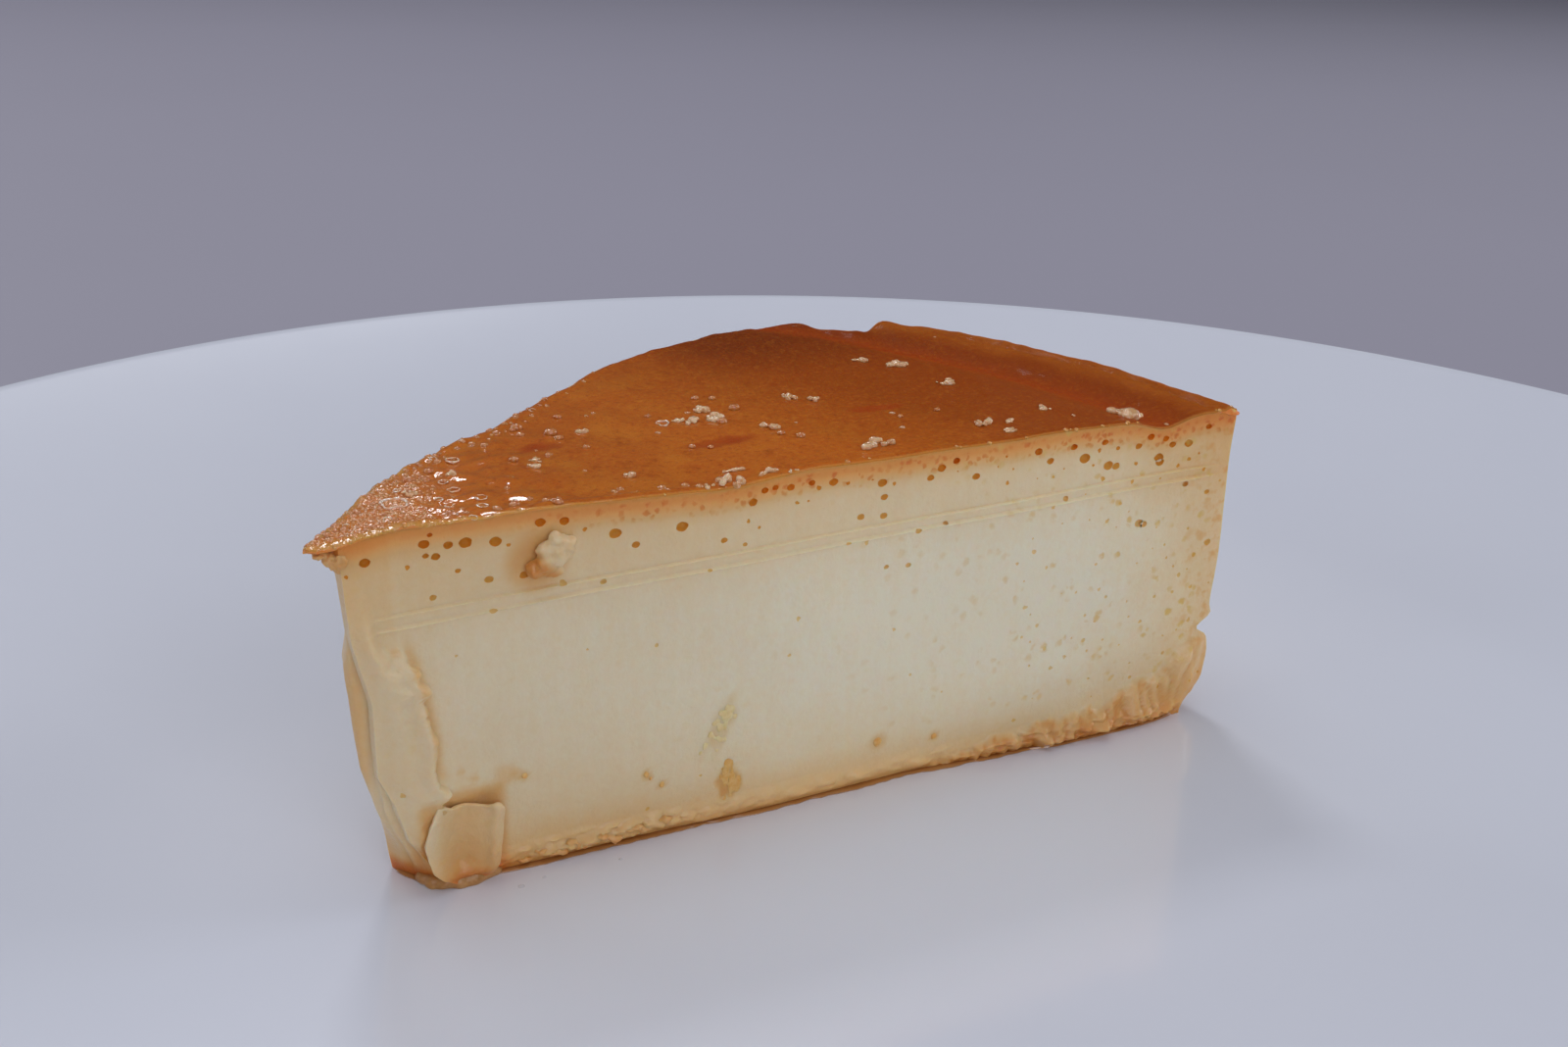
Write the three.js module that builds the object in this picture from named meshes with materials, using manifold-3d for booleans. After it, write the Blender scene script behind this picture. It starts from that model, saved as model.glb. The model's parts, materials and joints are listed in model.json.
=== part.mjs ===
// A wedge of leche flan on its dinner plate. Millimetres, +Z up, and the origin is the
// middle of the plate's foot, on the table.
import * as THREE from 'three';
import { mergeVertices } from 'three/addons/utils/BufferGeometryUtils.js';
import Module from 'manifold-3d';

const wasm = await Module();
wasm.setup();

// The plate.
const plateRadius = 140.5;
const plateRimHeight = 19.3;
const plateWellRadius = 55; // flat middle
const plateWellTop = 7;
const plateWall = 4;
const plateLip = 1.6; // radius of the rounded edge
const footInner = 75.5;
const footOuter = 82;
const footHeight = 3;
const footChamfer = 0.7;
const rimRadii = [96, 110, 124, 135]; // where the rising rim's section has its points
const lipDegrees = [-60, -25, 10, 45, 80];
const plateSegments = 80;

// The wedge, in its own frame: tip at the origin, front cut along +X, z from the plate.
const sliceX = -48.6;
const sliceY = 4.8;
const cutLength = 86;
const sliceHeight = 32.7;
const tinRadius = 84.4; // the round tin that moulded its outer wall
const tinCentreX = 2.3;
const tinCentreY = -10.5;
const tinStart = 7.15; // degrees
const tinEnd = 34.6;
const layerThickness = 1.3; // the caramel soaked top
const gap = 0.3; // between pieces that rest on each other
const capCentre = new THREE.Vector2(50, 16); // the caps' rings shrink towards it
const capScales = [0.97, 0.9, 0.79, 0.6, 0.35];
const layerTopScales = [0.985, 0.95, 0.9, 0.84, 0.79, 0.72, 0.6, 0.45, 0.3, 0.15];

// Where the front face starts, where the strip beside the tip ends, and how far the far corner
// of the blunt tip is worn away, by height above the plate.
const tipEdge = profile([[0, 6.8], [5.4, 3.6], [9, 2.6], [12, 1.3], [18.5, 1.3], [25, 0], [32.7, -0.4]]);
const stripEdge = profile([[0, 8.6], [5, 6.3], [14, 5.8], [19, 4.9], [25, 3.5], [32.7, 3.5]]);
const tipWear = profile([
  [0, 3.9], [4, 3.3], [10, 2.1], [16, 1.2], [22, 0.7], [25.5, 1.2], [29, 0.8], [32, 0],
]);
const wallLevels = [gap, 1, 2.1, 4, 6.4, 8.3, 9.6, 10.9, 13.5, 17, 20.5, 23.8, 25.2, 25.6, 26.3, 26.7, 29];
const stripProud = 0.9;
const stripSeam = 0.25; // half the width over which it drops to the face
const stripFoot = 9;
const stripTop = 25.2;
const knifeLine = 25.4; // where the knife paused and left two steps across the face
const knifeStep = 0.18;
const knifeTilt = 1.7; // from the tip to the outer wall
const hollow = { left: 4.6, right: 12.6, top: 9.9, depth: 1.3, blend: 1 }; // behind the curl
const flakes = { top: 2.6, mean: 0.35, depth: 0.5 }; // along the foot of the cut
const crust = { start: 62, height: 2.4, depth: 0.5 }; // crumbled foot by the outer wall
const notch = { height: 9.6, width: 0.9, depth: 1.5 }; // chipped out of the outer wall
const swelling = { height: 6.2, width: 2.2, depth: 0.45 }; // of the crust below the notch
const footTuck = 2.4; // how far the outer wall rounds in at the plate
const dragDepth = 0.35; // waves that the knife dragged in the far cut
const topGroove = { fromWall: 8, width: 2.8, depth: 1.1 };
const frontDip = { at: 31, width: 7, depth: 0.6 };
const nub = { x: -2.9, y: 0.5, sag: 0.4 }; // skin that hangs past the tip

// How many stations each side of the plan has.
const frontStations = 34;
const stripStations = 5; // of those, the ones left of the strip's edge
const curlStations = 5; // and the closer ones behind the curl
const curlEnd = 13;
const tinStations = 15;
const tornStations = 7;
const backStations = 20;
const tipStations = 4;

const pits = { count: 26, sides: 8, radius: 0.42, more: 0.25, top: 29.2, spread: 4, spreadByTin: 20 };
const curl = { thickness: 0.8, across: 9, up: 6, standOff: 0.3, bow: 0.6, lift: 0.6 };

// Scraps stuck to the cut face: a crumb under the caramel, a smear and a brown patch.
const scraps = [
  { at: [15.8, -0.2, 28.6], size: [3.9, 2.8, 3.8], tilt: 0 },
  { at: [31.4, 0, 9.8], size: [2.1, 0.9, 4.4], tilt: 0.3 },
  { at: [32.7, 0.2, 4.5], size: [2.3, 1.1, 3.9], tilt: 0 },
];
const largeCrumb = 3; // a crumb longer than this has finer facets

// Crumbs on the caramel: place on the slice, then length, width and height.
const crumbs = [
  [76.4, 5.2, 3.6, 2.0, 1.3], [62.1, 24.6, 3.2, 1.7, 0.8], [48, 18.3, 3.8, 1.5, 0.8],
  [37.2, 16.2, 4.2, 2.2, 0.7], [32.8, 16.3, 1.8, 1.6, 0.9], [41.5, 11.4, 2.0, 1.3, 0.7],
  [48, 4.1, 3.8, 1.6, 0.8], [36.3, 2.2, 2.2, 1.4, 0.7], [32.4, 2, 2.0, 1.7, 0.9],
  [25.2, 5.2, 1.7, 1.2, 0.7], [25.4, 16.8, 1.7, 1.1, 0.6], [18.5, 10.2, 2.0, 1.2, 0.6],
  [60.8, 5, 2.6, 1.6, 0.6], [12.4, 14, 1.3, 1.1, 0.6], [11.6, 10.2, 1.6, 1.2, 0.6],
];

const colours = {
  porcelain: { color: 0xe9ebf1, roughness: 0.2 },
  custard: { color: 0xe8dcb4, roughness: 0.45 },
  caramel: { color: 0xa8561c, roughness: 0.2 },
  curl: { color: 0xdcbd88, roughness: 0.5 },
};

// Small maths helpers.
function smooth(from, to, value) {
  const t = THREE.MathUtils.clamp((value - from) / (to - from), 0, 1);
  return t * t * (3 - 2 * t);
}

function bump(centre, width, value) {
  return Math.exp(-(((value - centre) / width) ** 2));
}

function profile(points) {
  return (height) => {
    const above = points.findIndex((point) => point[0] >= height);
    if (above <= 0) return points.at(above)[1];
    const [lowZ, lowX] = points[above - 1];
    const [highZ, highX] = points[above];
    return THREE.MathUtils.mapLinear(height, lowZ, highZ, lowX, highX);
  };
}

function seededRandom(seed) {
  let state = seed;
  return () => {
    state = (state * 1664525 + 1013904223) % 4294967296;
    return state / 4294967296;
  };
}

// Geometry helpers.
function closedGeometry(source) {
  const bare = source.clone();
  bare.deleteAttribute('normal');
  bare.deleteAttribute('uv');
  const merged = mergeVertices(bare, 1e-4);
  const index = [];
  for (let i = 0; i < merged.index.count; i += 3) {
    const [a, b, c] = merged.index.array.slice(i, i + 3);
    if (a !== b && b !== c && c !== a) index.push(a, b, c);
  }
  merged.setIndex(index);
  return merged;
}

function solidOf(geometry) {
  const closed = closedGeometry(geometry);
  return new wasm.Manifold(new wasm.Mesh({
    numProp: 3,
    vertProperties: new Float32Array(closed.attributes.position.array),
    triVerts: new Uint32Array(closed.index.array),
  }));
}

function geometryOf(solid) {
  const mesh = solid.getMesh();
  const geometry = new THREE.BufferGeometry();
  geometry.setAttribute('position', new THREE.BufferAttribute(mesh.vertProperties, 3));
  geometry.setIndex(new THREE.BufferAttribute(mesh.triVerts, 1));
  return geometry;
}

// A closed body from rings of points, with a point to close it below and one above. Each quad
// is split along its shorter diagonal, so that two faces of the same plan stay parallel.
function loft(below, rings, above) {
  const points = [below, ...rings.flat(), above];
  const around = rings[0].length;
  const last = points.length - 1;
  const index = [];
  for (let i = 0; i < around; i++) {
    const next = (i + 1) % around;
    index.push(0, 1 + next, 1 + i);
    index.push(last, last - around + i, last - around + next);
    for (let k = 0; k + 1 < rings.length; k++) {
      const low = 1 + k * around;
      const [a, b, c, d] = [low + i, low + next, low + around + next, low + around + i];
      const rising = points[a].distanceTo(points[c]) < points[b].distanceTo(points[d]);
      index.push(...(rising ? [a, b, c, a, c, d] : [a, b, d, b, c, d]));
    }
  }
  return new THREE.BufferGeometry().setFromPoints(points).setIndex(index);
}

// The plan of the wedge, as stations that run anticlockwise round it.
function stationsAlong(side, curve, count) {
  return Array.from({ length: count }, (_, i) => {
    const t = i / count;
    const tangent = curve.getTangentAt(t);
    return { side, t, i, place: curve.getPointAt(t), normal: new THREE.Vector2(tangent.y, -tangent.x) };
  });
}

function planPoints(...pairs) {
  return new THREE.SplineCurve(pairs.map(([x, y]) => new THREE.Vector2(x, y)));
}

const frontCut = new THREE.LineCurve(new THREE.Vector2(0, 0), new THREE.Vector2(cutLength, 0));
const tinWall = new THREE.EllipseCurve(
  tinCentreX, tinCentreY, tinRadius, tinRadius,
  THREE.MathUtils.degToRad(tinStart), THREE.MathUtils.degToRad(tinEnd),
);
const tornCorner = planPoints(
  [71.7, 37.4], [68.9, 39.2], [64.4, 37.8], [62.3, 40.8], [59.9, 43.3], [56.6, 44.1],
);
const backCut = planPoints(
  [56.6, 44.1], [52.2, 42.3], [44.1, 39.6], [35.9, 35.8], [27.2, 29], [18.9, 21.3], [12.4, 17.1],
  [5.8, 11.3], [-0.8, 3],
);
const bluntTip = planPoints([-0.8, 3], [-0.8, 1.2], [-0.4, 0]);
const stations = [
  ...stationsAlong('front', frontCut, frontStations),
  ...stationsAlong('tin', tinWall, tinStations),
  ...stationsAlong('torn', tornCorner, tornStations),
  ...stationsAlong('back', backCut, backStations),
  ...stationsAlong('tip', bluntTip, tipStations),
];

// Relief of the cut face, outwards: the strip peeled up beside the tip, the steps that the
// knife left, the hollow behind the curl and the flaky brown foot.
function frontRelief(x, z) {
  const inside = smooth(0, 5, x) * smooth(cutLength, cutLength - 5, x);
  const fadeTop = stripTop + 6 * smooth(3, 0, x); // by the tip it runs on up to the caramel
  const stripHeight = smooth(stripFoot, stripFoot + 2.2, z) * smooth(fadeTop, stripTop - 1.8, z);
  const strip = stripProud * smooth(stripSeam, -stripSeam, x - stripEdge(z)) * stripHeight;
  const aboveKnife = z - knifeLine;
  const steps = knifeStep * inside * (smooth(-0.1, 0.2, aboveKnife) + smooth(0.8, 1.2, aboveKnife));
  const { left, right, top, depth, blend } = hollow;
  const hollowAcross = smooth(left, left + blend, x) * smooth(right, right - blend, x);
  const behindCurl = depth * hollowAcross * smooth(top, top - blend, z);
  const foot = inside * smooth(flakes.top, 1.4, z) * smooth(0.2, 1, z);
  const flaky = foot * (flakes.mean + flakes.depth * Math.sin(1.05 * x) * Math.sin(0.37 * x + 1));
  const crumbled = crust.depth * smooth(crust.start, crust.start + 8, x) * (1 + Math.sin(1.9 * x));
  const ripple = 0.12 * Math.sin(0.21 * x + 0.3 * z) - 0.5 * smooth(8, 0, z);
  return strip - steps - behindCurl + flaky + crumbled * bump(crust.height, 1.6, z) + ripple * inside;
}

// Relief of the moulded wall: a chipped notch near the corner over a swollen lower crust.
function tinRelief(t, z) {
  const chip = notch.depth * bump(notch.height, notch.width, z);
  const spur = 0.4 * bump(notch.height + 1.3, 0.7, z);
  const swollen = swelling.depth * bump(swelling.height, swelling.width, z) + 0.25 * bump(18, 5, z);
  const waves = 0.12 * Math.sin(19 * t + 0.4 * z);
  return smooth(0.7, 0.1, t) * (spur - chip) + swollen + waves - footTuck * smooth(4, gap, z);
}

// The far cut, where the knife dragged.
function backRelief(t, z) {
  return dragDepth * Math.sin(23 * t + 0.25 * z) * smooth(1, 0.85, t) - 0.9 * smooth(3, gap, z);
}

function tornRelief(t, z) {
  return -1.2 * smooth(3, gap, z);
}

// Where a station of the front face stands: closer together by the strip and the curl.
function frontX(i, z) {
  const strip = stripEdge(z);
  const corner = cutLength + tinRelief(0, z);
  const afterStrip = i - stripStations;
  const afterCurl = afterStrip - curlStations;
  if (afterStrip < 0) return THREE.MathUtils.lerp(tipEdge(z), strip - stripSeam, i / (stripStations - 1));
  if (afterCurl < 0) return THREE.MathUtils.lerp(strip + stripSeam, curlEnd, afterStrip / curlStations);
  return THREE.MathUtils.lerp(curlEnd, corner, afterCurl / (frontStations - stripStations - curlStations));
}

// A point of the wedge's wall; the levels tilt a little to follow the knife line.
function wallPoint(station, level) {
  const { side, t, i, place, normal } = station;
  const tilt = (THREE.MathUtils.clamp(place.x, 0, cutLength) / cutLength - 0.5) * knifeTilt;
  const z = level + tilt * bump(knifeLine, 4, level);
  if (side === 'front') {
    const x = frontX(i, level);
    return new THREE.Vector3(x, -frontRelief(x, level), z);
  }
  const relief = { tin: tinRelief, torn: tornRelief, back: backRelief, tip: () => 0 }[side];
  const point = place.clone().addScaledVector(normal, relief(t, level));
  if (side === 'tip') point.x += (tipEdge(level) - tipEdge(sliceHeight)) * t;
  if (side === 'tip' || side === 'back') {
    const nearTip = side === 'tip' ? 1 - t : smooth(0.7, 1, t);
    point.x += tipWear(level) * nearTip;
    point.y += 1.7 * smooth(14, 0, level) * nearTip;
  }
  return new THREE.Vector3(point.x, point.y, z);
}

// Height of the caramel's upper face: a sagging tip, a dip near the front edge, and a groove
// inside the raised rim that the tin left.
function topHeight(x, y) {
  const fromWall = tinRadius - Math.hypot(x - tinCentreX, y - tinCentreY);
  const sag = nub.sag * smooth(5, -2, x);
  const dip = frontDip.depth * bump(frontDip.at, frontDip.width, x) * bump(0, 12, y);
  const groove = topGroove.depth * bump(topGroove.fromWall, topGroove.width, fromWall);
  const waves = 0.12 * Math.sin(0.5 * x + 0.3 * y) * Math.sin(0.4 * y + 1);
  const tornLumps = 0.5 * bump(66, 5, x) * bump(40, 4, y) * Math.sin(1.3 * x);
  return sliceHeight - sag - dip - groove + waves + tornLumps;
}

function capPoint(edge, scale, depth) {
  const x = THREE.MathUtils.lerp(capCentre.x, edge.x, scale);
  const y = THREE.MathUtils.lerp(capCentre.y, edge.y, scale);
  return new THREE.Vector3(x, y, topHeight(x, y) - depth);
}

// An uneven pebble with a shallow underside, such as a crumb or a scrap of custard.
function pebble(length, width, height, detail, seed) {
  const random = seededRandom(seed);
  const shape = closedGeometry(new THREE.IcosahedronGeometry(1, detail));
  const position = shape.attributes.position;
  const corner = new THREE.Vector3();
  for (let i = 0; i < position.count; i++) {
    corner.fromBufferAttribute(position, i).multiplyScalar(0.8 + 0.4 * random());
    position.setXYZ(i, corner.x, corner.y, corner.z < 0 ? corner.z * 0.5 : corner.z);
  }
  return shape.scale(length / 2, width / 2, height / 2).rotateZ(random() - 0.5);
}

function plate() {
  const rise = plateRadius - plateLip - plateWellRadius;
  const topAt = (radius) => {
    const climb = Math.max(0, radius - plateWellRadius) / rise;
    return plateWellTop + (plateRimHeight - plateWellTop) * climb ** 2;
  };
  const footRoot = footOuter + 1.8;
  const outline = [
    [0, footHeight], [footInner - 1.5, footHeight], [footInner, footChamfer], [footInner + footChamfer, 0],
    [footOuter - footChamfer, 0], [footOuter, footChamfer], [footRoot, topAt(footRoot) - plateWall],
  ];
  for (const radius of rimRadii) outline.push([radius, topAt(radius) - plateWall]);
  for (const degrees of lipDegrees) {
    const angle = THREE.MathUtils.degToRad(degrees);
    const radius = plateRadius - plateLip + plateLip * Math.cos(angle);
    outline.push([radius, plateRimHeight + plateLip * (Math.sin(angle) - 1)]);
  }
  for (const radius of rimRadii.toReversed()) outline.push([radius, topAt(radius)]);
  for (const radius of [footOuter, 68, 58]) outline.push([radius, topAt(radius)]);
  outline.push([plateWellRadius - 5, plateWellTop], [0, plateWellTop]);
  const points = outline.map(([radius, height]) => new THREE.Vector2(radius, height));
  return closedGeometry(new THREE.LatheGeometry(points, plateSegments)).rotateX(Math.PI / 2);
}

function custardCore() {
  const walls = wallLevels.map((level) => stations.map((station) => wallPoint(station, level)));
  const depth = layerThickness + gap;
  const edges = stations.map((station) => wallPoint(station, sliceHeight - depth));
  const cap = [1, ...capScales].map((scale) => edges.map((edge) => capPoint(edge, scale, depth)));
  const foot = new THREE.Vector3(capCentre.x, capCentre.y, wallLevels[0]);
  return loft(foot, [...walls, ...cap], capPoint(foot, 0, depth));
}

// Steam bubbles cut open by the knife, thickest under the caramel and by the tin wall.
function custardPits() {
  const random = seededRandom(41);
  return Array.from({ length: pits.count }, (_, i) => {
    const x = 3 + (cutLength - 6) * (i + 0.2 + 0.6 * random()) / pits.count;
    const spread = THREE.MathUtils.lerp(pits.spread, pits.spreadByTin, smooth(50, 80, x));
    const z = pits.top - 1.6 * bump(78, 4, x) - spread * random() ** 2;
    const pit = new THREE.SphereGeometry(pits.radius + pits.more * random(), pits.sides, pits.sides - 3);
    return pit.scale(1, 1.2, 1.1).translate(x, -frontRelief(x, z), z);
  });
}

function custardScraps() {
  return scraps.map(({ at, size, tilt }, i) => pebble(...size, 1, 5 + i).rotateY(tilt).translate(...at));
}

function custard() {
  let solid = solidOf(custardCore());
  for (const pit of custardPits()) solid = solid.subtract(solidOf(pit));
  for (const scrap of custardScraps()) solid = solid.add(solidOf(scrap));
  return geometryOf(solid);
}

// The layer follows the same plan, and its skin hangs past the tip as a small nub.
function layerEdge(station) {
  const edge = wallPoint(station, sliceHeight - layerThickness - gap);
  const reach = station.side === 'tip' ? Math.sin(Math.PI * station.t) ** 2 : 0;
  edge.lerp(new THREE.Vector3(nub.x, nub.y, edge.z), reach);
  return edge;
}

function caramelLayer() {
  const edges = stations.map(layerEdge);
  const flush = stations.map((station) => wallPoint(station, sliceHeight - layerThickness - gap));
  const ring = (from, scale, depth) => from.map((edge) => capPoint(edge, scale, depth));
  const underside = capScales.toReversed().map((scale) => ring(flush, scale, layerThickness));
  const side = [
    ring(edges, 0.997, layerThickness), ring(edges, 1.002, layerThickness / 2), ring(edges, 0.996, 0.05),
  ];
  const top = layerTopScales.map((scale) => ring(edges, scale, 0));
  const middle = new THREE.Vector3(capCentre.x, capCentre.y, 0);
  const below = capPoint(middle, 0, layerThickness);
  let solid = solidOf(loft(below, [...underside, ...side, ...top], capPoint(middle, 0, 0)));
  crumbs.forEach(([x, y, length, width, height], i) => {
    const detail = length > largeCrumb ? 1 : 0;
    const crumb = pebble(length, width, 2 * height, detail, 100 + i);
    solid = solid.add(solidOf(crumb.translate(x, y, topHeight(x, y))));
  });
  return geometryOf(solid);
}

// A peeled sheet of custard that stands on the plate against the foot of the cut face.
function custardCurl() {
  const { thickness, across, up, standOff, bow, lift } = curl;
  const leftEdge = profile([[0, 7.2], [0.25, 5.4], [0.6, 4.6], [1, 6.4]]);
  const rightEdge = profile([[0, 10.8], [0.2, 11.4], [1, 11.6]]);
  const crest = profile([[0, 8.9], [0.12, 8.6], [0.25, 7.9], [0.8, 7.9], [1, 8.5]]);
  const rings = Array.from({ length: up }, (_, k) => {
    const v = k / (up - 1);
    const face = (u, back) => {
      const x = THREE.MathUtils.lerp(leftEdge(v), rightEdge(v), u);
      const y = (back ? thickness : 0) - standOff - bow * (2 * u - 1) ** 2 - lift * u * v;
      return new THREE.Vector3(x, y, THREE.MathUtils.lerp(gap, crest(u), v));
    };
    const steps = Array.from({ length: across }, (_, i) => i / (across - 1));
    return [...steps.map((u) => face(u, false)), ...steps.toReversed().map((u) => face(u, true))];
  });
  return ribbon(rings, across);
}

// Closes a stack of flat rings, each a front row and a back row, with strips at both ends.
function ribbon(rings, across) {
  const around = rings[0].length;
  const index = [];
  const quad = (a, b, c, d) => index.push(a, b, c, a, c, d);
  for (let k = 0; k + 1 < rings.length; k++) {
    for (let i = 0; i < around; i++) {
      const next = (i + 1) % around;
      quad(k * around + i, k * around + next, (k + 1) * around + next, (k + 1) * around + i);
    }
  }
  const top = (rings.length - 1) * around;
  for (let i = 0; i + 1 < across; i++) {
    quad(i, around - 1 - i, around - 2 - i, i + 1);
    quad(top + i, top + i + 1, top + around - 2 - i, top + around - 1 - i);
  }
  return new THREE.BufferGeometry().setFromPoints(rings.flat()).setIndex(index);
}

function piece(name, geometry, { color, roughness }) {
  geometry.computeVertexNormals();
  const mesh = new THREE.Mesh(geometry, new THREE.MeshStandardMaterial({ color, roughness, metalness: 0 }));
  mesh.name = name;
  return mesh;
}

const flan = new THREE.Group();
const slice = new THREE.Group();
slice.position.set(sliceX, sliceY, plateWellTop);
slice.add(
  piece('custard', custard(), colours.custard),
  piece('caramel_layer', caramelLayer(), colours.caramel),
  piece('custard_curl', custardCurl(), colours.curl),
);
flan.add(piece('plate', plate(), colours.porcelain), slice);

export default flan;
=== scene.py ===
import json
import math

import bmesh
import bpy
import numpy as np
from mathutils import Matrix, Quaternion, Vector, noise

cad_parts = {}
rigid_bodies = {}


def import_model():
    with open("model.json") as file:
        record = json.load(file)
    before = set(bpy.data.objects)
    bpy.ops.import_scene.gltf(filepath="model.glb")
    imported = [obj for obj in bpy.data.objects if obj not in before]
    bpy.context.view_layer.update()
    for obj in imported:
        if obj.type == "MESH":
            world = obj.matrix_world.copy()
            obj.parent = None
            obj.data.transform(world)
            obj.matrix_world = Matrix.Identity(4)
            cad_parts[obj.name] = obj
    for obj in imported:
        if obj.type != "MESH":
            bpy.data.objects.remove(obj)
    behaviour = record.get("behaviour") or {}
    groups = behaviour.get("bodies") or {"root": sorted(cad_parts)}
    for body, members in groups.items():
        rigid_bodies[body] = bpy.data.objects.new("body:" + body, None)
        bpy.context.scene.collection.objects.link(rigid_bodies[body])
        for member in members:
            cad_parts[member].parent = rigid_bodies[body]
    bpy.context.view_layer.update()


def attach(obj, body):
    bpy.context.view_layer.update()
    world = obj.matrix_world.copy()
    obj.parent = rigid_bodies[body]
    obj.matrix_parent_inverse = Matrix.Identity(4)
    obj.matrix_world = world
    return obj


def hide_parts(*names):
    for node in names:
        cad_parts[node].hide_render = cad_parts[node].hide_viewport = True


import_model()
print("frame loaded")

# The wedge is drawn in millimetres from the foot of its tip: x along the front cut, y towards
# the far side, z up from the plate.
wedge = {
    "origin": (-48.6, 4.8, 7.0),
    "cut": 86.0,
    "height": 32.7,
    "skin": 0.18,
    # the arc of the moulded outer wall, and the points that the other sides run through
    "tinRadius": 84.4,
    "tinCentre": (2.3, -10.5),
    "tinDegrees": (7.15, 34.6),
    "tornCorner": [(71.7, 37.4), (68.9, 39.2), (64.4, 37.8), (62.3, 40.8), (59.9, 43.3), (56.6, 44.1)],
    "farCut": [(56.6, 44.1), (52.2, 42.3), (44.1, 39.6), (35.9, 35.8), (27.2, 29), (18.9, 21.3),
               (12.4, 17.1), (5.8, 11.3), (-0.8, 3)],
    "bluntTip": [(-0.8, 3), (-0.8, 1.2), (-0.4, 0)],
    "nub": (-2.9, 0.5),
}
custardTop = wedge["height"] - wedge["skin"]


def smooth(start, end, value):
    t = np.clip((value - start) / (end - start), 0, 1)
    return t * t * (3 - 2 * t)


def bump(centre, width, value):
    return np.exp(-((value - centre) / width) ** 2)


def hump(row, value):
    # a soft bump from a row of its height, its place and its width
    height, place, width = row
    return height * bump(place, width, value)


def along(value, *pairs):
    # straight lines between (value, result) pairs
    return np.interp(value, [p[0] for p in pairs], [p[1] for p in pairs])


def grain(points, size, seed=0.0):
    # soft noise from -1 to 1, with features of about that size in millimetres
    points = np.asarray(points, float)
    step = np.broadcast_to(np.asarray(size, float), (3,))
    scaled = points / step + (seed * 7.31, seed * 3.17, seed * 5.53)
    return np.array([noise.noise(p) for p in scaled.reshape(-1, 3).tolist()]).reshape(points.shape[:-1])


def unevenness(points, rows):
    # layers of noise, each row its depth, its size and its seed
    return sum(depth * grain(points, size, seed) for depth, size, seed in rows)


def cells(points, size):
    # 0 in the middle of each cell and 1 on the walls between cells
    scaled = np.asarray(points, float) / size
    near = np.array([noise.voronoi(p)[0][:2] for p in scaled.reshape(-1, 3).tolist()])
    return np.clip(1 - (near[:, 1] - near[:, 0]) * 2.2, 0, 1).reshape(points.shape[:-1])


def facePoints(x, z):
    # places on the cut face, for noise
    return np.stack(np.broadcast_arrays(x, 0.0, z), -1)


def onPlate(points):
    return (np.asarray(points, float) + wedge["origin"]) * 0.001


def throughPoints(points, count):
    # a smooth line through the points, in equal steps, and its outward side
    points = np.array(points, float)
    p = np.vstack([points[:1], points, points[-1:]])
    t = np.linspace(0, 1, 40, endpoint=False)[:, None]
    bends = []
    for a, b, c, d in zip(p, p[1:], p[2:], p[3:]):
        bends.append(b + t * (c - a) / 2 + t**2 * (a - 2.5 * b + 2 * c - d / 2)
                     + t**3 * (1.5 * b - a / 2 - 1.5 * c + d / 2))
    line = np.vstack([*bends, points[-1:]])
    length = np.append(0, np.cumsum(np.linalg.norm(np.diff(line, axis=0), axis=1)))
    at = np.linspace(0, length[-1], count + 1)
    place = np.stack([np.interp(at, length, line[:, k]) for k in (0, 1)], 1)
    ahead = np.stack([np.interp(at + 0.05, length, line[:, k]) for k in (0, 1)], 1)
    behind = np.stack([np.interp(at - 0.05, length, line[:, k]) for k in (0, 1)], 1)
    tangent = ahead - behind
    tangent /= np.linalg.norm(tangent, axis=1)[:, None]
    normal = np.stack([tangent[:, 1], -tangent[:, 0]], 1)
    return place[:-1], normal[:-1], (at / length[-1])[:-1]


def outwardOf(ring, reach):
    # the flat outward direction at each point of a closed anticlockwise ring
    ahead = np.roll(ring, -reach, 0) - np.roll(ring, reach, 0)
    out = np.stack([ahead[:, 1], -ahead[:, 0]], 1)
    return out / (np.linalg.norm(out, axis=1)[:, None] + 1e-9)


def tinArc(count):
    angle = np.radians(np.linspace(*wedge["tinDegrees"], count + 1))[:-1]
    normal = np.stack([np.cos(angle), np.sin(angle)], 1)
    return wedge["tinCentre"] + wedge["tinRadius"] * normal, normal, np.linspace(0, 1, count + 1)[:-1]


def makePiece(name, points, faces, *finishes, inMetres=False):
    mesh = bpy.data.meshes.new(name)
    points = np.asarray(points, float) if inMetres else onPlate(points)
    mesh.from_pydata(points.tolist(), [], [list(face) for face in faces])
    mesh.validate()
    mesh.shade_smooth()
    piece = bpy.data.objects.new(name, mesh)
    bpy.context.scene.collection.objects.link(piece)
    for finish in finishes:
        mesh.materials.append(finish)
    return piece


def bridge(ringCount, around, start=0):
    # quads between rings that run anticlockwise and climb
    low = start + np.arange(ringCount - 1)[:, None] * around + np.arange(around)
    nextLow = start + np.arange(ringCount - 1)[:, None] * around + (np.arange(around) + 1) % around
    return np.stack([low, nextLow, nextLow + around, low + around], -1).reshape(-1, 4).tolist()


def band(first, second):
    # quads between two closed rows of corners
    return np.stack([first, second, np.roll(second, -1), np.roll(first, -1)], -1).tolist()


def fan(centre, start, around, facingUp):
    ring = [(start + i, start + (i + 1) % around) for i in range(around)]
    return [(centre, a, b) if facingUp else (centre, b, a) for a, b in ring]


def baked(piece):
    # the piece with its modifiers applied, as a plain mesh
    name = piece.name
    evaluated = piece.evaluated_get(bpy.context.evaluated_depsgraph_get())
    mesh = bpy.data.meshes.new_from_object(evaluated)
    old = piece.data
    piece.modifiers.clear()
    piece.data = mesh
    bpy.data.meshes.remove(old)
    mesh.name = name
    return piece


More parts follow.
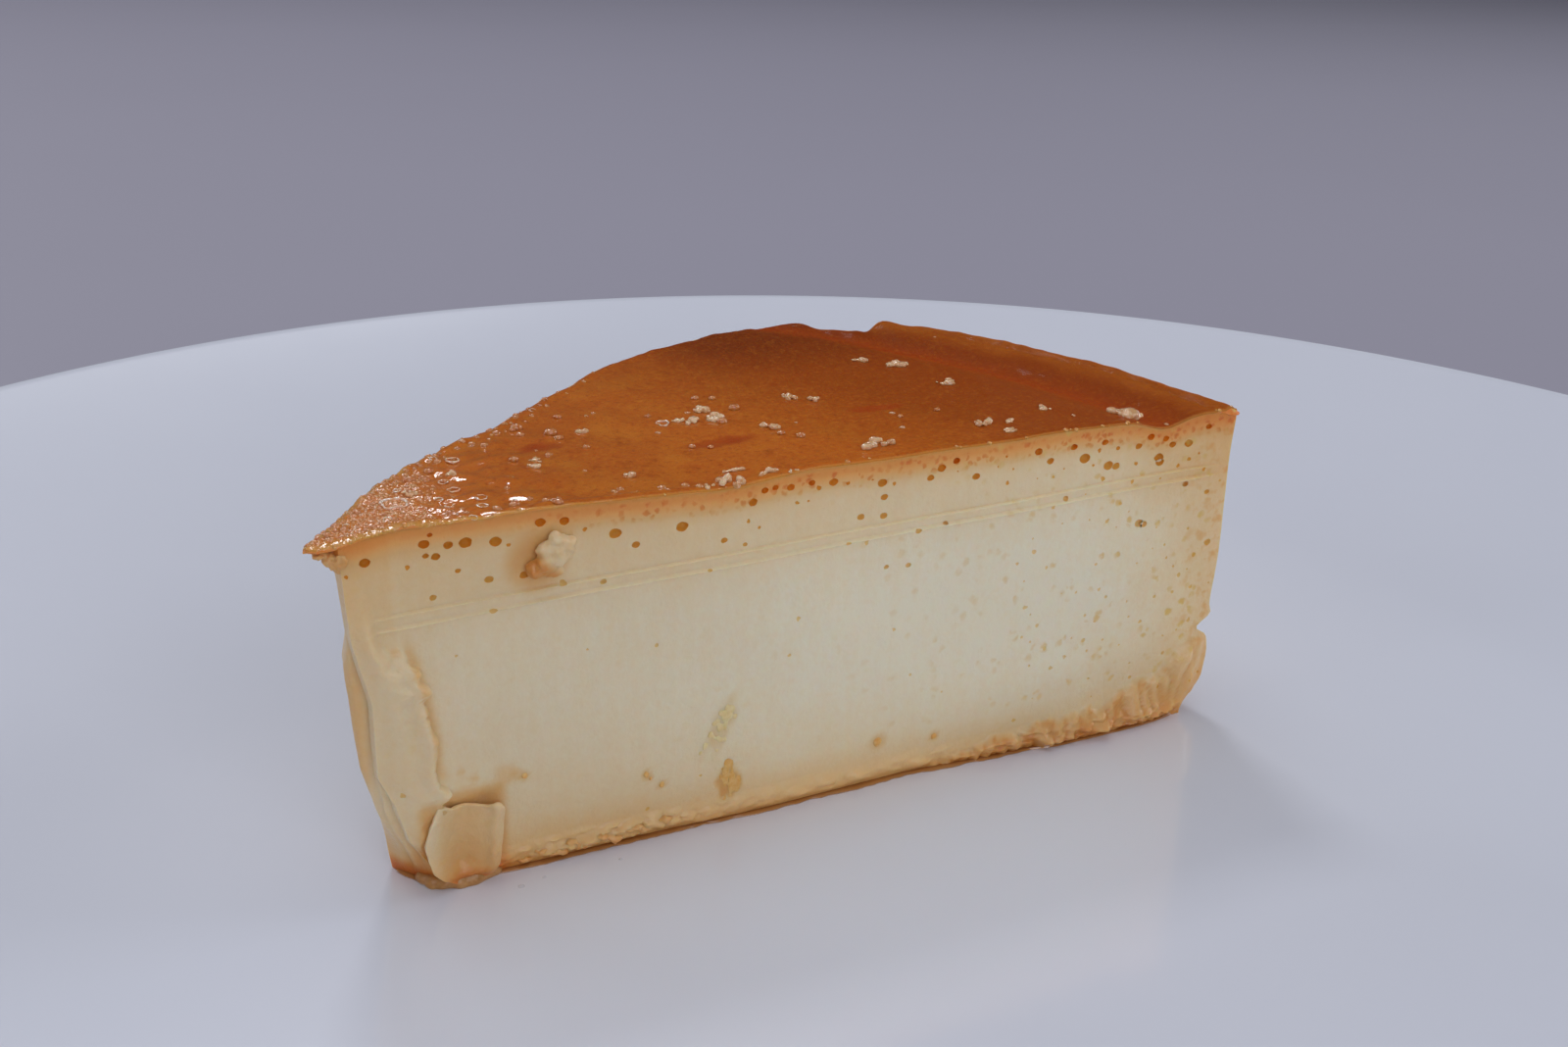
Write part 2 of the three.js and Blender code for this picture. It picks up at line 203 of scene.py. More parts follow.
def subdivided(piece, levels):
    rounder = piece.modifiers.new("round", "SUBSURF")
    rounder.levels = rounder.render_levels = levels
    return baked(piece)


def joined(name, pieces):
    # several pieces as one mesh
    with bpy.context.temp_override(active_object=pieces[0], selected_editable_objects=pieces):
        bpy.ops.object.join()
    pieces[0].name = name
    return pieces[0]


class Wire:
    # a socket that takes part in sums; each sum adds a Math node

    def __init__(self, tree, socket):
        self.tree = tree
        self.socket = socket

    def math(self, operation, *values):
        inputs = dict(enumerate(values))
        return self.tree.add("ShaderNodeMath", {"operation": operation}, inputs)

    def __add__(self, other):
        return self.math("ADD", self, other)

    def __sub__(self, other):
        return self.math("SUBTRACT", self, other)

    def __rsub__(self, other):
        return self.math("SUBTRACT", other, self)

    def __mul__(self, other):
        return self.math("MULTIPLY", self, other)

    def exp(self):
        return self.math("EXPONENT", self)

    def atLeast(self, other):
        return self.math("MAXIMUM", self, other)

    __radd__ = __add__
    __rmul__ = __mul__


class NodeSheet:
    # a node tree, with one way to add any node

    def __init__(self, tree):
        self.tree = tree

    def node(self, kind, settings=None, inputs=None):
        made = self.tree.nodes.new(kind)
        for key, value in (settings or {}).items():
            if key == "stops":
                self.setStops(made.color_ramp, value)
            else:
                setattr(made, key, value)
        for key, value in (inputs or {}).items():
            if isinstance(value, Wire):
                self.tree.links.new(value.socket, made.inputs[key])
            else:
                made.inputs[key].default_value = value
        return made

    def add(self, kind, settings=None, inputs=None, output=0):
        return Wire(self, self.node(kind, settings, inputs).outputs[output])

    def setStops(self, ramp, stops):
        while len(ramp.elements) < len(stops):
            ramp.elements.new(1)
        for element, (at, colour) in zip(ramp.elements, stops):
            element.position = at
            element.color = (*colour, 1)


class Finish(NodeSheet):
    # a material on object coordinates

    def __init__(self, name):
        self.material = bpy.data.materials.new(name)
        self.material.use_nodes = True
        super().__init__(self.material.node_tree)
        self.tree.nodes.clear()
        self.place = self.add("ShaderNodeTexCoord", output="Object")

    def wedgePlace(self):
        # object coordinates in millimetres from the wedge's tip
        return self.multiplyAdd(self.place, (1000,) * 3, tuple(-c for c in wedge["origin"]))

    def axes(self, vector):
        split = self.node("ShaderNodeSeparateXYZ", None, {0: vector})
        return [Wire(self, split.outputs[k]) for k in range(3)]

    def noise(self, vector, size, detail=2.0, stretch=(1, 1, 1), rough=0.5):
        scaled = self.add("ShaderNodeVectorMath", {"operation": "DIVIDE"},
                          {0: vector, 1: tuple(size * s for s in stretch)})
        return self.add("ShaderNodeTexNoise", None,
                        {"Vector": scaled, "Scale": 1.0, "Detail": detail, "Roughness": rough})

    def swirl(self, vector, size):
        # noise around zero as a vector
        scaled = self.add("ShaderNodeVectorMath", {"operation": "SCALE"}, {0: vector, "Scale": 1 / size})
        cloud = self.add("ShaderNodeTexNoise", None, {"Vector": scaled, "Scale": 1.0}, output=1)
        return self.add("ShaderNodeVectorMath", {"operation": "SUBTRACT"}, {0: cloud, 1: (0.5,) * 3})

    def cells(self, vector, size):
        return self.add("ShaderNodeTexVoronoi", None, {"Vector": vector, "Scale": 1 / size})

    def attribute(self, name):
        return self.add("ShaderNodeAttribute", {"attribute_name": name}, output="Fac")

    def multiplyAdd(self, vector, factor, shift):
        inputs = {0: vector, 1: factor, 2: shift}
        return self.add("ShaderNodeVectorMath", {"operation": "MULTIPLY_ADD"}, inputs)

    def line(self, value, *pairs):
        # straight lines between (value, result) pairs
        low, high = pairs[0][0], pairs[-1][0]
        top = max(max(result for _, result in pairs), 1e-6)
        share = self.add("ShaderNodeMapRange", None, {"Value": value, "From Min": low, "From Max": high})
        stops = [((at - low) / (high - low), (result / top,) * 3) for at, result in pairs]
        return self.add("ShaderNodeValToRGB", {"stops": stops}, {0: share}) * top

    def mix(self, factor, first, second):
        inputs = {"Factor": factor, 6: asColour(first), 7: asColour(second)}
        return self.add("ShaderNodeMix", {"data_type": "RGBA"}, inputs, output=2)

    def relief(self, height, depth):
        return self.add("ShaderNodeBump", None, {"Height": height, "Distance": depth, "Strength": 1.0})

    def principled(self, **inputs):
        # the shader, with its sockets' names as words run together
        shader = self.node("ShaderNodeBsdfPrincipled")
        for socket in shader.inputs:
            key = socket.name.replace(" ", "")
            if key not in inputs:
                continue
            value = inputs.pop(key)
            if isinstance(value, Wire):
                self.tree.links.new(value.socket, socket)
            else:
                socket.default_value = asColour(value) if socket.type == "RGBA" else value
        assert not inputs, inputs
        output = self.node("ShaderNodeOutputMaterial")
        self.tree.links.new(shader.outputs[0], output.inputs["Surface"])
        return self.material


def asColour(value):
    return value if isinstance(value, Wire) or len(value) == 4 else (*value, 1)


# forms shared by the custard and its caramel: the tip's edges by height
def tipEdge(z):
    return along(z, (0, 6.8), (5.4, 3.6), (9, 2.6), (12, 1.3), (18.5, 1.3), (25, 0), (32.7, -0.4))


def stripEdge(z):
    return along(z, (0, 5.6), (5, 5.6), (8, 6.2), (9.5, 6.4), (12, 5.7), (14, 5.8), (19, 4.9), (25, 3.5),
                 (32.7, 3.5))


def tipWear(z):
    return along(z, (0, 3.9), (4, 3.3), (10, 2.1), (16, 1.2), (22, 0.7), (25.5, 1.2), (29, 0.8), (32, 0))


cutFace = {
    "stripColumns": 24,
    "columns": 236,
    "knifeLine": 25.4,
    "knifeStep": 0.25,
    "knifeTilt": 1.7,
    "burrs": [(0.13, -0.1, 0.1), (0.09, 0.86, 0.08)],  # height, place above the knife line, width
    "ripple": 0.12,
    "footTuck": 0.5,
    "curlHollow": 0.4,
    "stripProud": 1.45,
    "stripFoot": 3.4,
    "stripTop": 25.2,
    "flakeTop": 2.6,
    "flakes": [(1, (1.9, 1, 0.9), 15), (0.5, (0.7, 1, 0.5), 16)],
    # the torn crust along the foot: its upper edge over x, its wander, and its folds and crumbs
    "crustEdge": [(50, 0.6), (60, 1.3), (68, 2.4), (75, 3.6), (81, 5.4), (86, 9.5)],
    "crustWander": [(1.3, 3.1, 27), (0.5, 0.9, 28)],
    "crustFolds": ((1.5, 1, 4.2), 17),
    "crustCrumbs": ((0.8, 1, 1.3), 18),
    "cornerSwell": 0.8,
}

# the other sides; the rows hold a height, its place and its width, or a depth, a size and a seed
walledSides = {
    "columns": (76, 44, 140, 22),  # in the outer wall, the torn corner, the far cut and the blunt tip
    "chip": (1.5, 9.6, 0.8),
    "spur": (0.45, 10.9, 0.55),
    "tinSwells": [(0.45, 6.2, 2.2), (0.25, 18, 5)],
    "tinRipple": 0.12,
    "tinTuck": 2.4,
    "tornWaves": [(0.5, (1.8, 1, 1.5), 73), (0.25, (0.8, 1, 0.6), 74)],
    "tornTuck": 1.2,
    "farWaves": [(0.5, (9, 1, 14), 71), (0.22, (3.5, 1, 5), 72)],
    "farTuck": 0.9,
    "tipTuck": 1.7,
    "tipRidge": (0.16, 0.95, 0.04),
    "tipGroove": (0.45, 0.78, 0.08),
    "tipLeaf": (0.35, 0.42, 0.06),
    "tipSwell": (0.6, 0.45, 0.25),
}

# the upper side: heights in millimetres, and the groove's depth, distance from the wall and width
upperSide = {
    "tipSag": 0.4,
    "frontDip": 0.6,
    "groove": (1.1, 8, 2.8),
    "waves": 0.06,
    "tornUneven": 0.5,
}


def stripHeight(x, z):
    fadeTop = cutFace["stripTop"] + 6 * smooth(3, 0, x)
    foot = cutFace["stripFoot"]
    fade = smooth(foot, foot + 2.2, z) * smooth(fadeTop, cutFace["stripTop"] - 1.8, z)
    return fade * along(z, (3, 0.55), (8, 0.7), (13, 1))


def crustShare(x, z):
    # the torn crust along the foot, higher towards the outer corner
    edge = along(x, *cutFace["crustEdge"]) + unevenness(facePoints(x, 0.0), cutFace["crustWander"])
    return smooth(edge + 0.25, edge - 0.35, z) * smooth(50, 60, x)


def crustFolds(x, z):
    return np.abs(grain(facePoints(x, z), *cutFace["crustFolds"]))


def frontRelief(x, z):
    # how far the cut face stands out, without the peeled strip
    x, z = np.broadcast_arrays(np.asarray(x, float), np.asarray(z, float))
    inside = smooth(0, 5, x) * smooth(wedge["cut"], wedge["cut"] - 5, x)
    knife = z - cutFace["knifeLine"]
    burr = sum(hump(row, knife) for row in cutFace["burrs"])
    steps = cutFace["knifeStep"] * (smooth(-0.04, 0.1, knife) + 0.8 * smooth(0.9, 1.04, knife))
    hollow = cutFace["curlHollow"] * smooth(4.4, 6.2, x) * smooth(11.4, 10.0, x) * smooth(8.4, 7.0, z)
    foot = inside * smooth(cutFace["flakeTop"], 1.2, z) * smooth(0.1, 1, z)
    places = facePoints(x, z)
    flakes = sum(depth * np.abs(grain(places, size, seed)) for depth, size, seed in cutFace["flakes"])
    flaky = foot * (0.15 + 0.9 * flakes * (0.55 + bump(20, 9, x) + smooth(58, 66, x)))
    torn = np.abs(grain(places, *cutFace["crustCrumbs"]))
    crumbled = crustShare(x, z) * (0.3 + crustFolds(x, z) + 0.25 * torn)
    crumbled = crumbled * smooth(wedge["cut"], wedge["cut"] - 1.5, x)
    crumbled = crumbled + cutFace["cornerSwell"] * smooth(64, 73, x) * smooth(85, 79, x) * smooth(5, 1, z)
    ripple = cutFace["ripple"] * np.sin(0.21 * x + 0.3 * z) - cutFace["footTuck"] * smooth(8, 0, z)
    return flaky + crumbled + (ripple + burr - steps) * inside - hollow


def tinRelief(t, z):
    # the moulded outer wall, from its front corner at t = 0
    nick = hump(walledSides["spur"], z) - hump(walledSides["chip"], z)
    swollen = sum(hump(row, z) for row in walledSides["tinSwells"])
    ripple = walledSides["tinRipple"] * np.sin(19 * t + 0.4 * z)
    return smooth(0.7, 0.1, t) * nick + swollen + ripple - walledSides["tinTuck"] * smooth(4, 0.3, z)


def farRelief(t, z):
    uneven = unevenness(facePoints(t * 70, z), walledSides["farWaves"])
    return uneven * smooth(1, 0.85, t) * smooth(0, 0.06, t) - walledSides["farTuck"] * smooth(3, 0.3, z)


def topHeight(x, y):
    fromWall = wedge["tinRadius"] - np.hypot(x - wedge["tinCentre"][0], y - wedge["tinCentre"][1])
    sag = upperSide["tipSag"] * smooth(5, -2, x)
    dip = upperSide["frontDip"] * bump(31, 7, x) * bump(0, 12, y)
    groove = hump(upperSide["groove"], fromWall) * (1 - 0.5 * smooth(26, 38, y))
    waves = upperSide["waves"] * np.sin(0.5 * x + 0.3 * y) * np.sin(0.4 * y + 1)
    torn = upperSide["tornUneven"] * bump(66, 5, x) * bump(40, 4, y) * np.sin(1.3 * x)
    return wedge["height"] - sag - dip - groove + waves + torn


# The strip that peeled up beside the tip: its edge curls over the face, so the columns there
# step back under it. Each has its place beside the edge, its overhang and its height.
stripLip = np.array([
    (-0.9, 0.0, 1.0), (-0.7, 0.02, 1.04), (-0.5, 0.1, 1.12), (-0.32, 0.22, 1.2), (-0.18, 0.36, 1.2),
    (-0.06, 0.48, 1.08), (0.02, 0.52, 0.86), (0.1, 0.46, 0.64), (0.2, 0.3, 0.42), (0.35, 0.15, 0.2),
    (0.55, 0.05, 0.07), (0.9, 0.0, 0.0),
])


def frontColumns(z):
    # x and y of the cut face at one height, from the tip to the outer corner
    scallop = abs(noise.noise((z / 1.7, 0, 3)))
    seam = stripEdge(z) + 1.4 * scallop - 0.35 + 0.3 * noise.noise((z / 3.1, 5, 1))
    u = np.linspace(0, 1, cutFace["stripColumns"], endpoint=False)
    tip = tipEdge(z)
    reach = stripLip[-1, 0]
    seam = max(seam, tip + reach + 0.4)
    flatX = tip + (seam - reach - tip) * u
    share = stripHeight(flatX, z)
    rolled = (0.85 + 0.5 * scallop) * smooth(24.6, 19, z)
    flatY = share * (0.45 + 0.55 * smooth(0, 0.8, u)) * (1 + (rolled - 1) * smooth(0.5, 1, u))
    lipShare = stripHeight(seam, z) * rolled
    lipX = seam + stripLip[:, 0] + stripLip[:, 1] * lipShare
    lipY = stripLip[:, 2] * lipShare
    corner = wedge["cut"] + tinRelief(0, z)
    faceX = seam + reach + (corner - seam - reach) * np.linspace(0, 1, cutFace["columns"] + 1)[1:-1]
    x = np.concatenate([flatX, lipX, faceX])
    proud = cutFace["stripProud"] * np.concatenate([flatY, lipY, 0 * faceX])
    return x, -(frontRelief(x, z) + proud)


def tornLine(level):
    place, normal, t = throughPoints(wedge["tornCorner"], walledSides["columns"][1])
    crumbly = unevenness(facePoints(t * 12, level), walledSides["tornWaves"])
    crumbly = crumbly * smooth(31.5, 28, level) * smooth(0, 0.1, t) * smooth(1, 0.9, t)
    return place + normal * (crumbly - walledSides["tornTuck"] * smooth(3, 0.3, level))[:, None]


def tipLine(level, tuck):
    # the blunt tip: a thin ridge, a groove beside it, and low down the edge of a leaf of custard
    place, normal, t = throughPoints(wedge["bluntTip"], walledSides["columns"][3])
    wander = 0.05 * noise.noise((level / 2.3, 4, 2))
    ridge = hump(walledSides["tipRidge"], t - wander) * smooth(27, 23, level) * smooth(9, 15, level)
    groove = hump(walledSides["tipGroove"], t - wander) * smooth(26, 21, level) * smooth(1, 4, level)
    leaf = hump(walledSides["tipLeaf"], t - wander - 0.02 * level)
    leaf = leaf * smooth(15, 11, level) * smooth(0, 2, level)
    swell = hump(walledSides["tipSwell"], t) * smooth(25, 19, level) * smooth(3, 8, level)
    line = place + normal * (swell + ridge - groove - leaf)[:, None]
    line[:, 0] += (tipEdge(level) - tipEdge(wedge["height"])) * t + tipWear(level) * (1 - t)
    line[:, 1] += tuck * (1 - t)
    return line


def wallRing(level):
    # the wedge's outline at one level; the levels tilt a little with the knife line
    front = np.stack(frontColumns(level), 1)
    place, normal, t = tinArc(walledSides["columns"][0])
    tin = place + normal * tinRelief(t, level)[:, None]
    place, normal, t = throughPoints(wedge["farCut"], walledSides["columns"][2])
    far = place + normal * farRelief(t, level)[:, None]
    tuck = walledSides["tipTuck"] * smooth(14, 0, level)
    far += np.stack([tipWear(level) * smooth(0.7, 1, t), tuck * smooth(0.7, 1, t)], 1)
    ring = np.vstack([front, tin, tornLine(level), far, tipLine(level, tuck)])
    tilt = (np.clip(ring[:, 0], 0, wedge["cut"]) / wedge["cut"] - 0.5) * cutFace["knifeTilt"]
    z = level + tilt * bump(cutFace["knifeLine"], 4, level)
    underSkin = topHeight(ring[:, 0], ring[:, 1]) - wedge["skin"]
    z += (underSkin - custardTop) * smooth(28.5, custardTop, level)
    return np.column_stack([ring, z])


custard = {
    # from, to and step of the levels, and the point that the closing rings shrink towards
    "levels": [(0, 3, 0.15), (3, 24.9, 0.4), (24.9, 26.8, 0.07), (26.8, 29, 0.26), (29, 32.4, 0.15)],
    "middle": (50, 16),
    "footHeight": 0.02,
    "capScales": (0.975, 0.9, 0.79, 0.6, 0.35),
    "capDepths": (0.3, 0.9, 1.0, 1.0, 1.0),
    # depth, size and seed of the cut's broad waves, fine waves and drag lines
    "waves": [(0.14, 11, 1), (0.04, 2.6, 2), (0.03, (0.8, 0.8, 9), 3)],
    # x, z and radius of the larger bubble holes in the cut face
    "pits": [(1.5, 30.5, 0.4), (6.2, 31.1, 0.4), (6.7, 31.8, 0.2), (8.1, 30.7, 0.36), (7.1, 29.9, 0.34),
             (9.5, 30.7, 0.48), (11.9, 30.4, 0.46), (15.6, 31.5, 0.42), (17.6, 31.3, 0.4),
             (17.5, 28.5, 0.3), (6.3, 30.1, 0.24), (11.3, 27.2, 0.36), (8.8, 28.4, 0.22),
             (6.7, 26.5, 0.28), (14.2, 27.1, 0.36), (17.4, 26.0, 0.34), (5.9, 25.1, 0.26),
             (11.4, 24.7, 0.32), (20.8, 25.5, 0.26), (21.9, 29.6, 0.5), (23.7, 28.3, 0.32),
             (27.8, 29.3, 0.48), (31.7, 27.4, 0.28), (33.7, 26.7, 0.22), (30.2, 25.1, 0.2),
             (34.4, 30.4, 0.38), (35.5, 31.3, 0.32), (36.5, 31.4, 0.28), (38.0, 31.2, 0.36),
             (40.0, 31.3, 0.32), (42.1, 31.1, 0.4), (46.9, 30.4, 0.42), (47.2, 29.0, 0.34),
             (47.3, 27.2, 0.34), (45.0, 27.4, 0.34), (51.8, 30.2, 0.34), (52.9, 31.0, 0.4),
             (54.4, 31.5, 0.34), (56.6, 29.7, 0.36), (53.6, 25.6, 0.26), (50.7, 25.4, 0.28),
             (43.6, 25.3, 0.26), (47.6, 22.4, 0.24), (49.9, 22.2, 0.26), (64.8, 30.0, 0.34),
             (68.8, 29.7, 0.54), (71.7, 28.6, 0.5), (72.6, 28.4, 0.4), (77.6, 28.6, 0.5),
             (77.8, 28.1, 0.44), (80.9, 29.7, 0.42), (80.9, 25.6, 0.34), (83.7, 24.4, 0.28),
             (75.7, 22.3, 0.44), (76.3, 22.1, 0.36), (84.7, 18.9, 0.38), (66.8, 26.1, 0.28),
             (63.4, 31.1, 0.38), (67.4, 31.0, 0.34), (71.0, 31.0, 0.34), (72.6, 30.2, 0.24),
             (75.0, 30.1, 0.36), (76.3, 30.9, 0.38), (78.1, 30.5, 0.34), (79.0, 29.8, 0.36),
             (83.0, 31.2, 0.3)],
    # the small pits' spacing, density, smallest and largest, sink and seed, as in the crumbs' rows
    "smallPits": (0.0011, 500000.0, 0.00013, 0.0004, -0.68, 4),
}


def stackedRings(rings):
    # a closed form from rings that start under its foot and end on top
    rings = np.asarray(rings)
    count, around = rings.shape[:2]
    bottom = rings[0].mean(0)
    top = rings[-1].mean(0)
    points = np.vstack([rings.reshape(-1, 3), bottom, top])
    faces = bridge(count, around)
    faces += fan(count * around, 0, around, False)
    faces += fan(count * around + 1, (count - 1) * around, around, True)
    return points, faces


def custardRings():
    steps = [np.arange(low, high, step) for low, high, step in custard["levels"]]
    levels = np.append(np.concatenate(steps), custardTop)
    walls = np.array([wallRing(level) for level in levels])
    ahead = np.roll(walls, -1, 1) - np.roll(walls, 1, 1)
    outward = np.cross(ahead, np.gradient(walls, axis=0))
    outward /= np.linalg.norm(outward, axis=2)[:, :, None] + 1e-9
    walls += outward * unevenness(walls, custard["waves"])[:, :, None]
    walls[..., 2] = np.maximum(walls[..., 2], custard["footHeight"])
    centre = np.array(custard["middle"], float)
    rings = []
    for scale in reversed(custard["capScales"]):
        flat = centre + (walls[0, :, :2] - centre) * scale
        rings.append(np.column_stack([flat, np.full(len(flat), custard["footHeight"])]))
    rings.extend(walls)
    for scale, depth in zip(custard["capScales"], custard["capDepths"]):
        flat = centre + (walls[-1, :, :2] - centre) * scale
        rings.append(np.column_stack([flat, topHeight(flat[:, 0], flat[:, 1]) - depth]))
    return rings, walls


def roundShape(subdivisions):
    form = bmesh.new()
    bmesh.ops.create_icosphere(form, subdivisions=subdivisions, radius=1)
    form.verts.index_update()
    points = np.array([v.co[:] for v in form.verts])
    faces = [[v.index for v in face.verts] for face in form.faces]
    form.free()
    return points, faces


def blobs(name, spots, subdivisions, roughness, finish):
    # rough round lumps at (place, radii), one mesh
    unit, unitFaces = roundShape(subdivisions)
    points = []
    faces = []
    for index, (place, radii) in enumerate(spots):
        swell = 1 + roughness * grain(unit, 0.9, index + 11) + 0.4 * roughness * grain(unit, 0.4, index + 40)
        faces += [[corner + index * len(unit) for corner in face] for face in unitFaces]
        points.append(unit * swell[:, None] * np.asarray(radii) + place)
    return makePiece(name, np.vstack(points), faces, finish)


def wedgePoints(mesh):
    flat = np.empty(len(mesh.vertices) * 3)
    mesh.vertices.foreach_get("co", flat)
    return flat.reshape(-1, 3) * 1000 - wedge["origin"]


def movePoints(mesh, points):
    mesh.vertices.foreach_set("co", onPlate(points).ravel())
    mesh.update()


def outwardSides(mesh):
    flat = np.empty(len(mesh.vertices) * 3)
    mesh.vertex_normals.foreach_get("vector", flat)
    return flat.reshape(-1, 3)


def paint(mesh, name, values):
    layer = mesh.attributes.get(name) or mesh.attributes.new(name, "FLOAT", "POINT")
    layer.data.foreach_set("value", np.ascontiguousarray(values, np.float32))


def fused(piece, voxel, rounds=2):
    # lumps melted into one skin
    remesh = piece.modifiers.new("melt", "REMESH")
    remesh.mode = "VOXEL"
    remesh.voxel_size = voxel
    soften = piece.modifiers.new("soften", "SMOOTH")
    soften.iterations = rounds
    finish = piece.data.materials[0]
    baked(piece)
    piece.data.materials.clear()
    piece.data.materials.append(finish)
    piece.data.shade_smooth()
    return piece


def roughened(piece, waves):
    points = wedgePoints(piece.data)
    movePoints(piece.data, points + outwardSides(piece.data) * unevenness(points, waves)[:, None])
    return piece


def scatterTree():
    tree = bpy.data.node_groups.new("scatterOverSurface", "GeometryNodeTree")
    kinds = [("Surface", "Geometry"), ("Shapes", "Collection"), ("Spacing", "Float"), ("Density", "Float"),
             ("Smallest", "Float"), ("Largest", "Float"), ("Sink", "Float"), ("Seed", "Int"),
             ("Finish", "Material")]
    for name, kind in kinds:
        tree.interface.new_socket(name, in_out="INPUT", socket_type="NodeSocket" + kind)
    tree.interface.new_socket("Pieces", in_out="OUTPUT", socket_type="NodeSocketGeometry")
    sheet = NodeSheet(tree)
    given = sheet.node("NodeGroupInput")
    take = {name: Wire(sheet, given.outputs[name]) for name, _ in kinds}
    where = sheet.add("GeometryNodeInputNamedAttribute", {"data_type": "FLOAT"}, {"Name": "where"})
    spread = sheet.node("GeometryNodeDistributePointsOnFaces", {"distribute_method": "POISSON"},
                        {"Mesh": take["Surface"], "Distance Min": take["Spacing"],
                         "Density Max": take["Density"], "Density Factor": where, "Seed": take["Seed"]})
    spots = Wire(sheet, spread.outputs["Points"])
    facing = Wire(sheet, spread.outputs["Rotation"])
    side = Wire(sheet, spread.outputs["Normal"])
    size = sheet.add("FunctionNodeRandomValue", {"data_type": "FLOAT"},
                     {2: take["Smallest"], 3: take["Largest"], "Seed": take["Seed"]}, output=1)
    spin = sheet.add("FunctionNodeRandomValue", {"data_type": "FLOAT_VECTOR"},
                     {0: (0, 0, 0), 1: (0.3, 0.3, 2 * math.pi), "Seed": take["Seed"] + 1.0}, output=0)
    turn = sheet.add("FunctionNodeRotateRotation", {"rotation_space": "LOCAL"},
                     {"Rotation": facing, "Rotate By": spin})
    which = sheet.add("FunctionNodeRandomValue", {"data_type": "INT"},
                      {4: 0, 5: 60, "Seed": take["Seed"] + 2.0}, output=2)
    shapes = sheet.add("GeometryNodeCollectionInfo", None,
                       {"Collection": take["Shapes"], "Separate Children": True, "Reset Children": True})
    down = sheet.add("ShaderNodeVectorMath", {"operation": "SCALE"},
                     {0: side, "Scale": size * take["Sink"] * -1.0})
    moved = sheet.add("GeometryNodeSetPosition", None, {"Geometry": spots, "Offset": down})
    placed = sheet.add("GeometryNodeInstanceOnPoints", None,
                       {"Points": moved, "Instance": shapes, "Pick Instance": True, "Instance Index": which,
                        "Rotation": turn, "Scale": size})
    whole = sheet.add("GeometryNodeRealizeInstances", None, {0: placed})
    dressed = sheet.add("GeometryNodeSetMaterial", None, {"Geometry": whole, "Material": take["Finish"]})
    sheet.node("NodeGroupOutput", None, {"Pieces": dressed})
    return tree


scatterNodes = scatterTree()


def shapeGroup(name, shapes):
    # unit shapes to scatter, kept out of the scene
    group = bpy.data.collections.new(name)
    for index, (points, faces) in enumerate(shapes):
        mesh = bpy.data.meshes.new(f"{name}{index}")
        mesh.from_pydata(np.asarray(points).tolist(), [], faces)
        mesh.shade_smooth()
        group.objects.link(bpy.data.objects.new(f"{name}{index}", mesh))
    return group


def scattered(name, surface, where, shapes, finish, spacing, density, smallest, largest, sink, seed):
    # shapes strewn over a surface, as dense as the where values at its points say
    group = shapeGroup(name + "Shape", shapes)
    mesh = surface.data.copy()
    paint(mesh, "where", where)
    piece = bpy.data.objects.new(name, mesh)
    bpy.context.scene.collection.objects.link(piece)
    spread = piece.modifiers.new("scatter", "NODES")
    spread.node_group = scatterNodes
    values = {"Shapes": group, "Spacing": spacing, "Density": density, "Smallest": smallest,
              "Largest": largest, "Sink": sink, "Seed": seed, "Finish": finish}
    for item in scatterNodes.interface.items_tree:
        if item.name in values:
            spread[item.identifier] = values[item.name]
    baked(piece)
    if not piece.data.materials:
        piece.data.materials.append(finish)
    for shape in list(group.objects):
        bpy.data.meshes.remove(shape.data)
    bpy.data.collections.remove(group)
    return piece


def lumpyShapes(count, subdivisions, roughness, flatness=1.0, seed=0):
    unit, faces = roundShape(subdivisions)
    shapes = []
    for index in range(count):
        swell = 1 + roughness * grain(unit, 0.8, seed + index)
        stretch = (1 + 0.5 * noise.noise((index, seed, 2)), 1, flatness)
        shapes.append((unit * swell[:, None] * stretch, faces))
    return shapes


def ringShapes(count, seed=0):
    # rims of burst bubbles
    shapes = []
    around = np.linspace(0, 2 * np.pi, 18, endpoint=False)
    tube = np.linspace(0, 2 * np.pi, 6, endpoint=False)
    circle = np.stack([np.cos(around), np.sin(around), 0 * around], 1)
    rows = np.arange(len(around) * len(tube)).reshape(len(around), -1)
    faces = [face for row, after in zip(rows, np.roll(rows, -1, 0)) for face in band(row, after)]
    for index in range(count):
        wave = 1 + 0.5 * grain(circle, 0.7, seed + index)
        thick = 0.14 + 0.1 * grain(circle, 0.9, seed + index + 9)
        points = []
        for turn, reach, width in zip(around, wave, thick):
            radius = reach + width * np.cos(tube)
            section = [radius * np.cos(turn), radius * np.sin(turn), width * np.sin(tube)]
            points += np.stack(section, 1).tolist()
        shapes.append((points, faces))
    return shapes


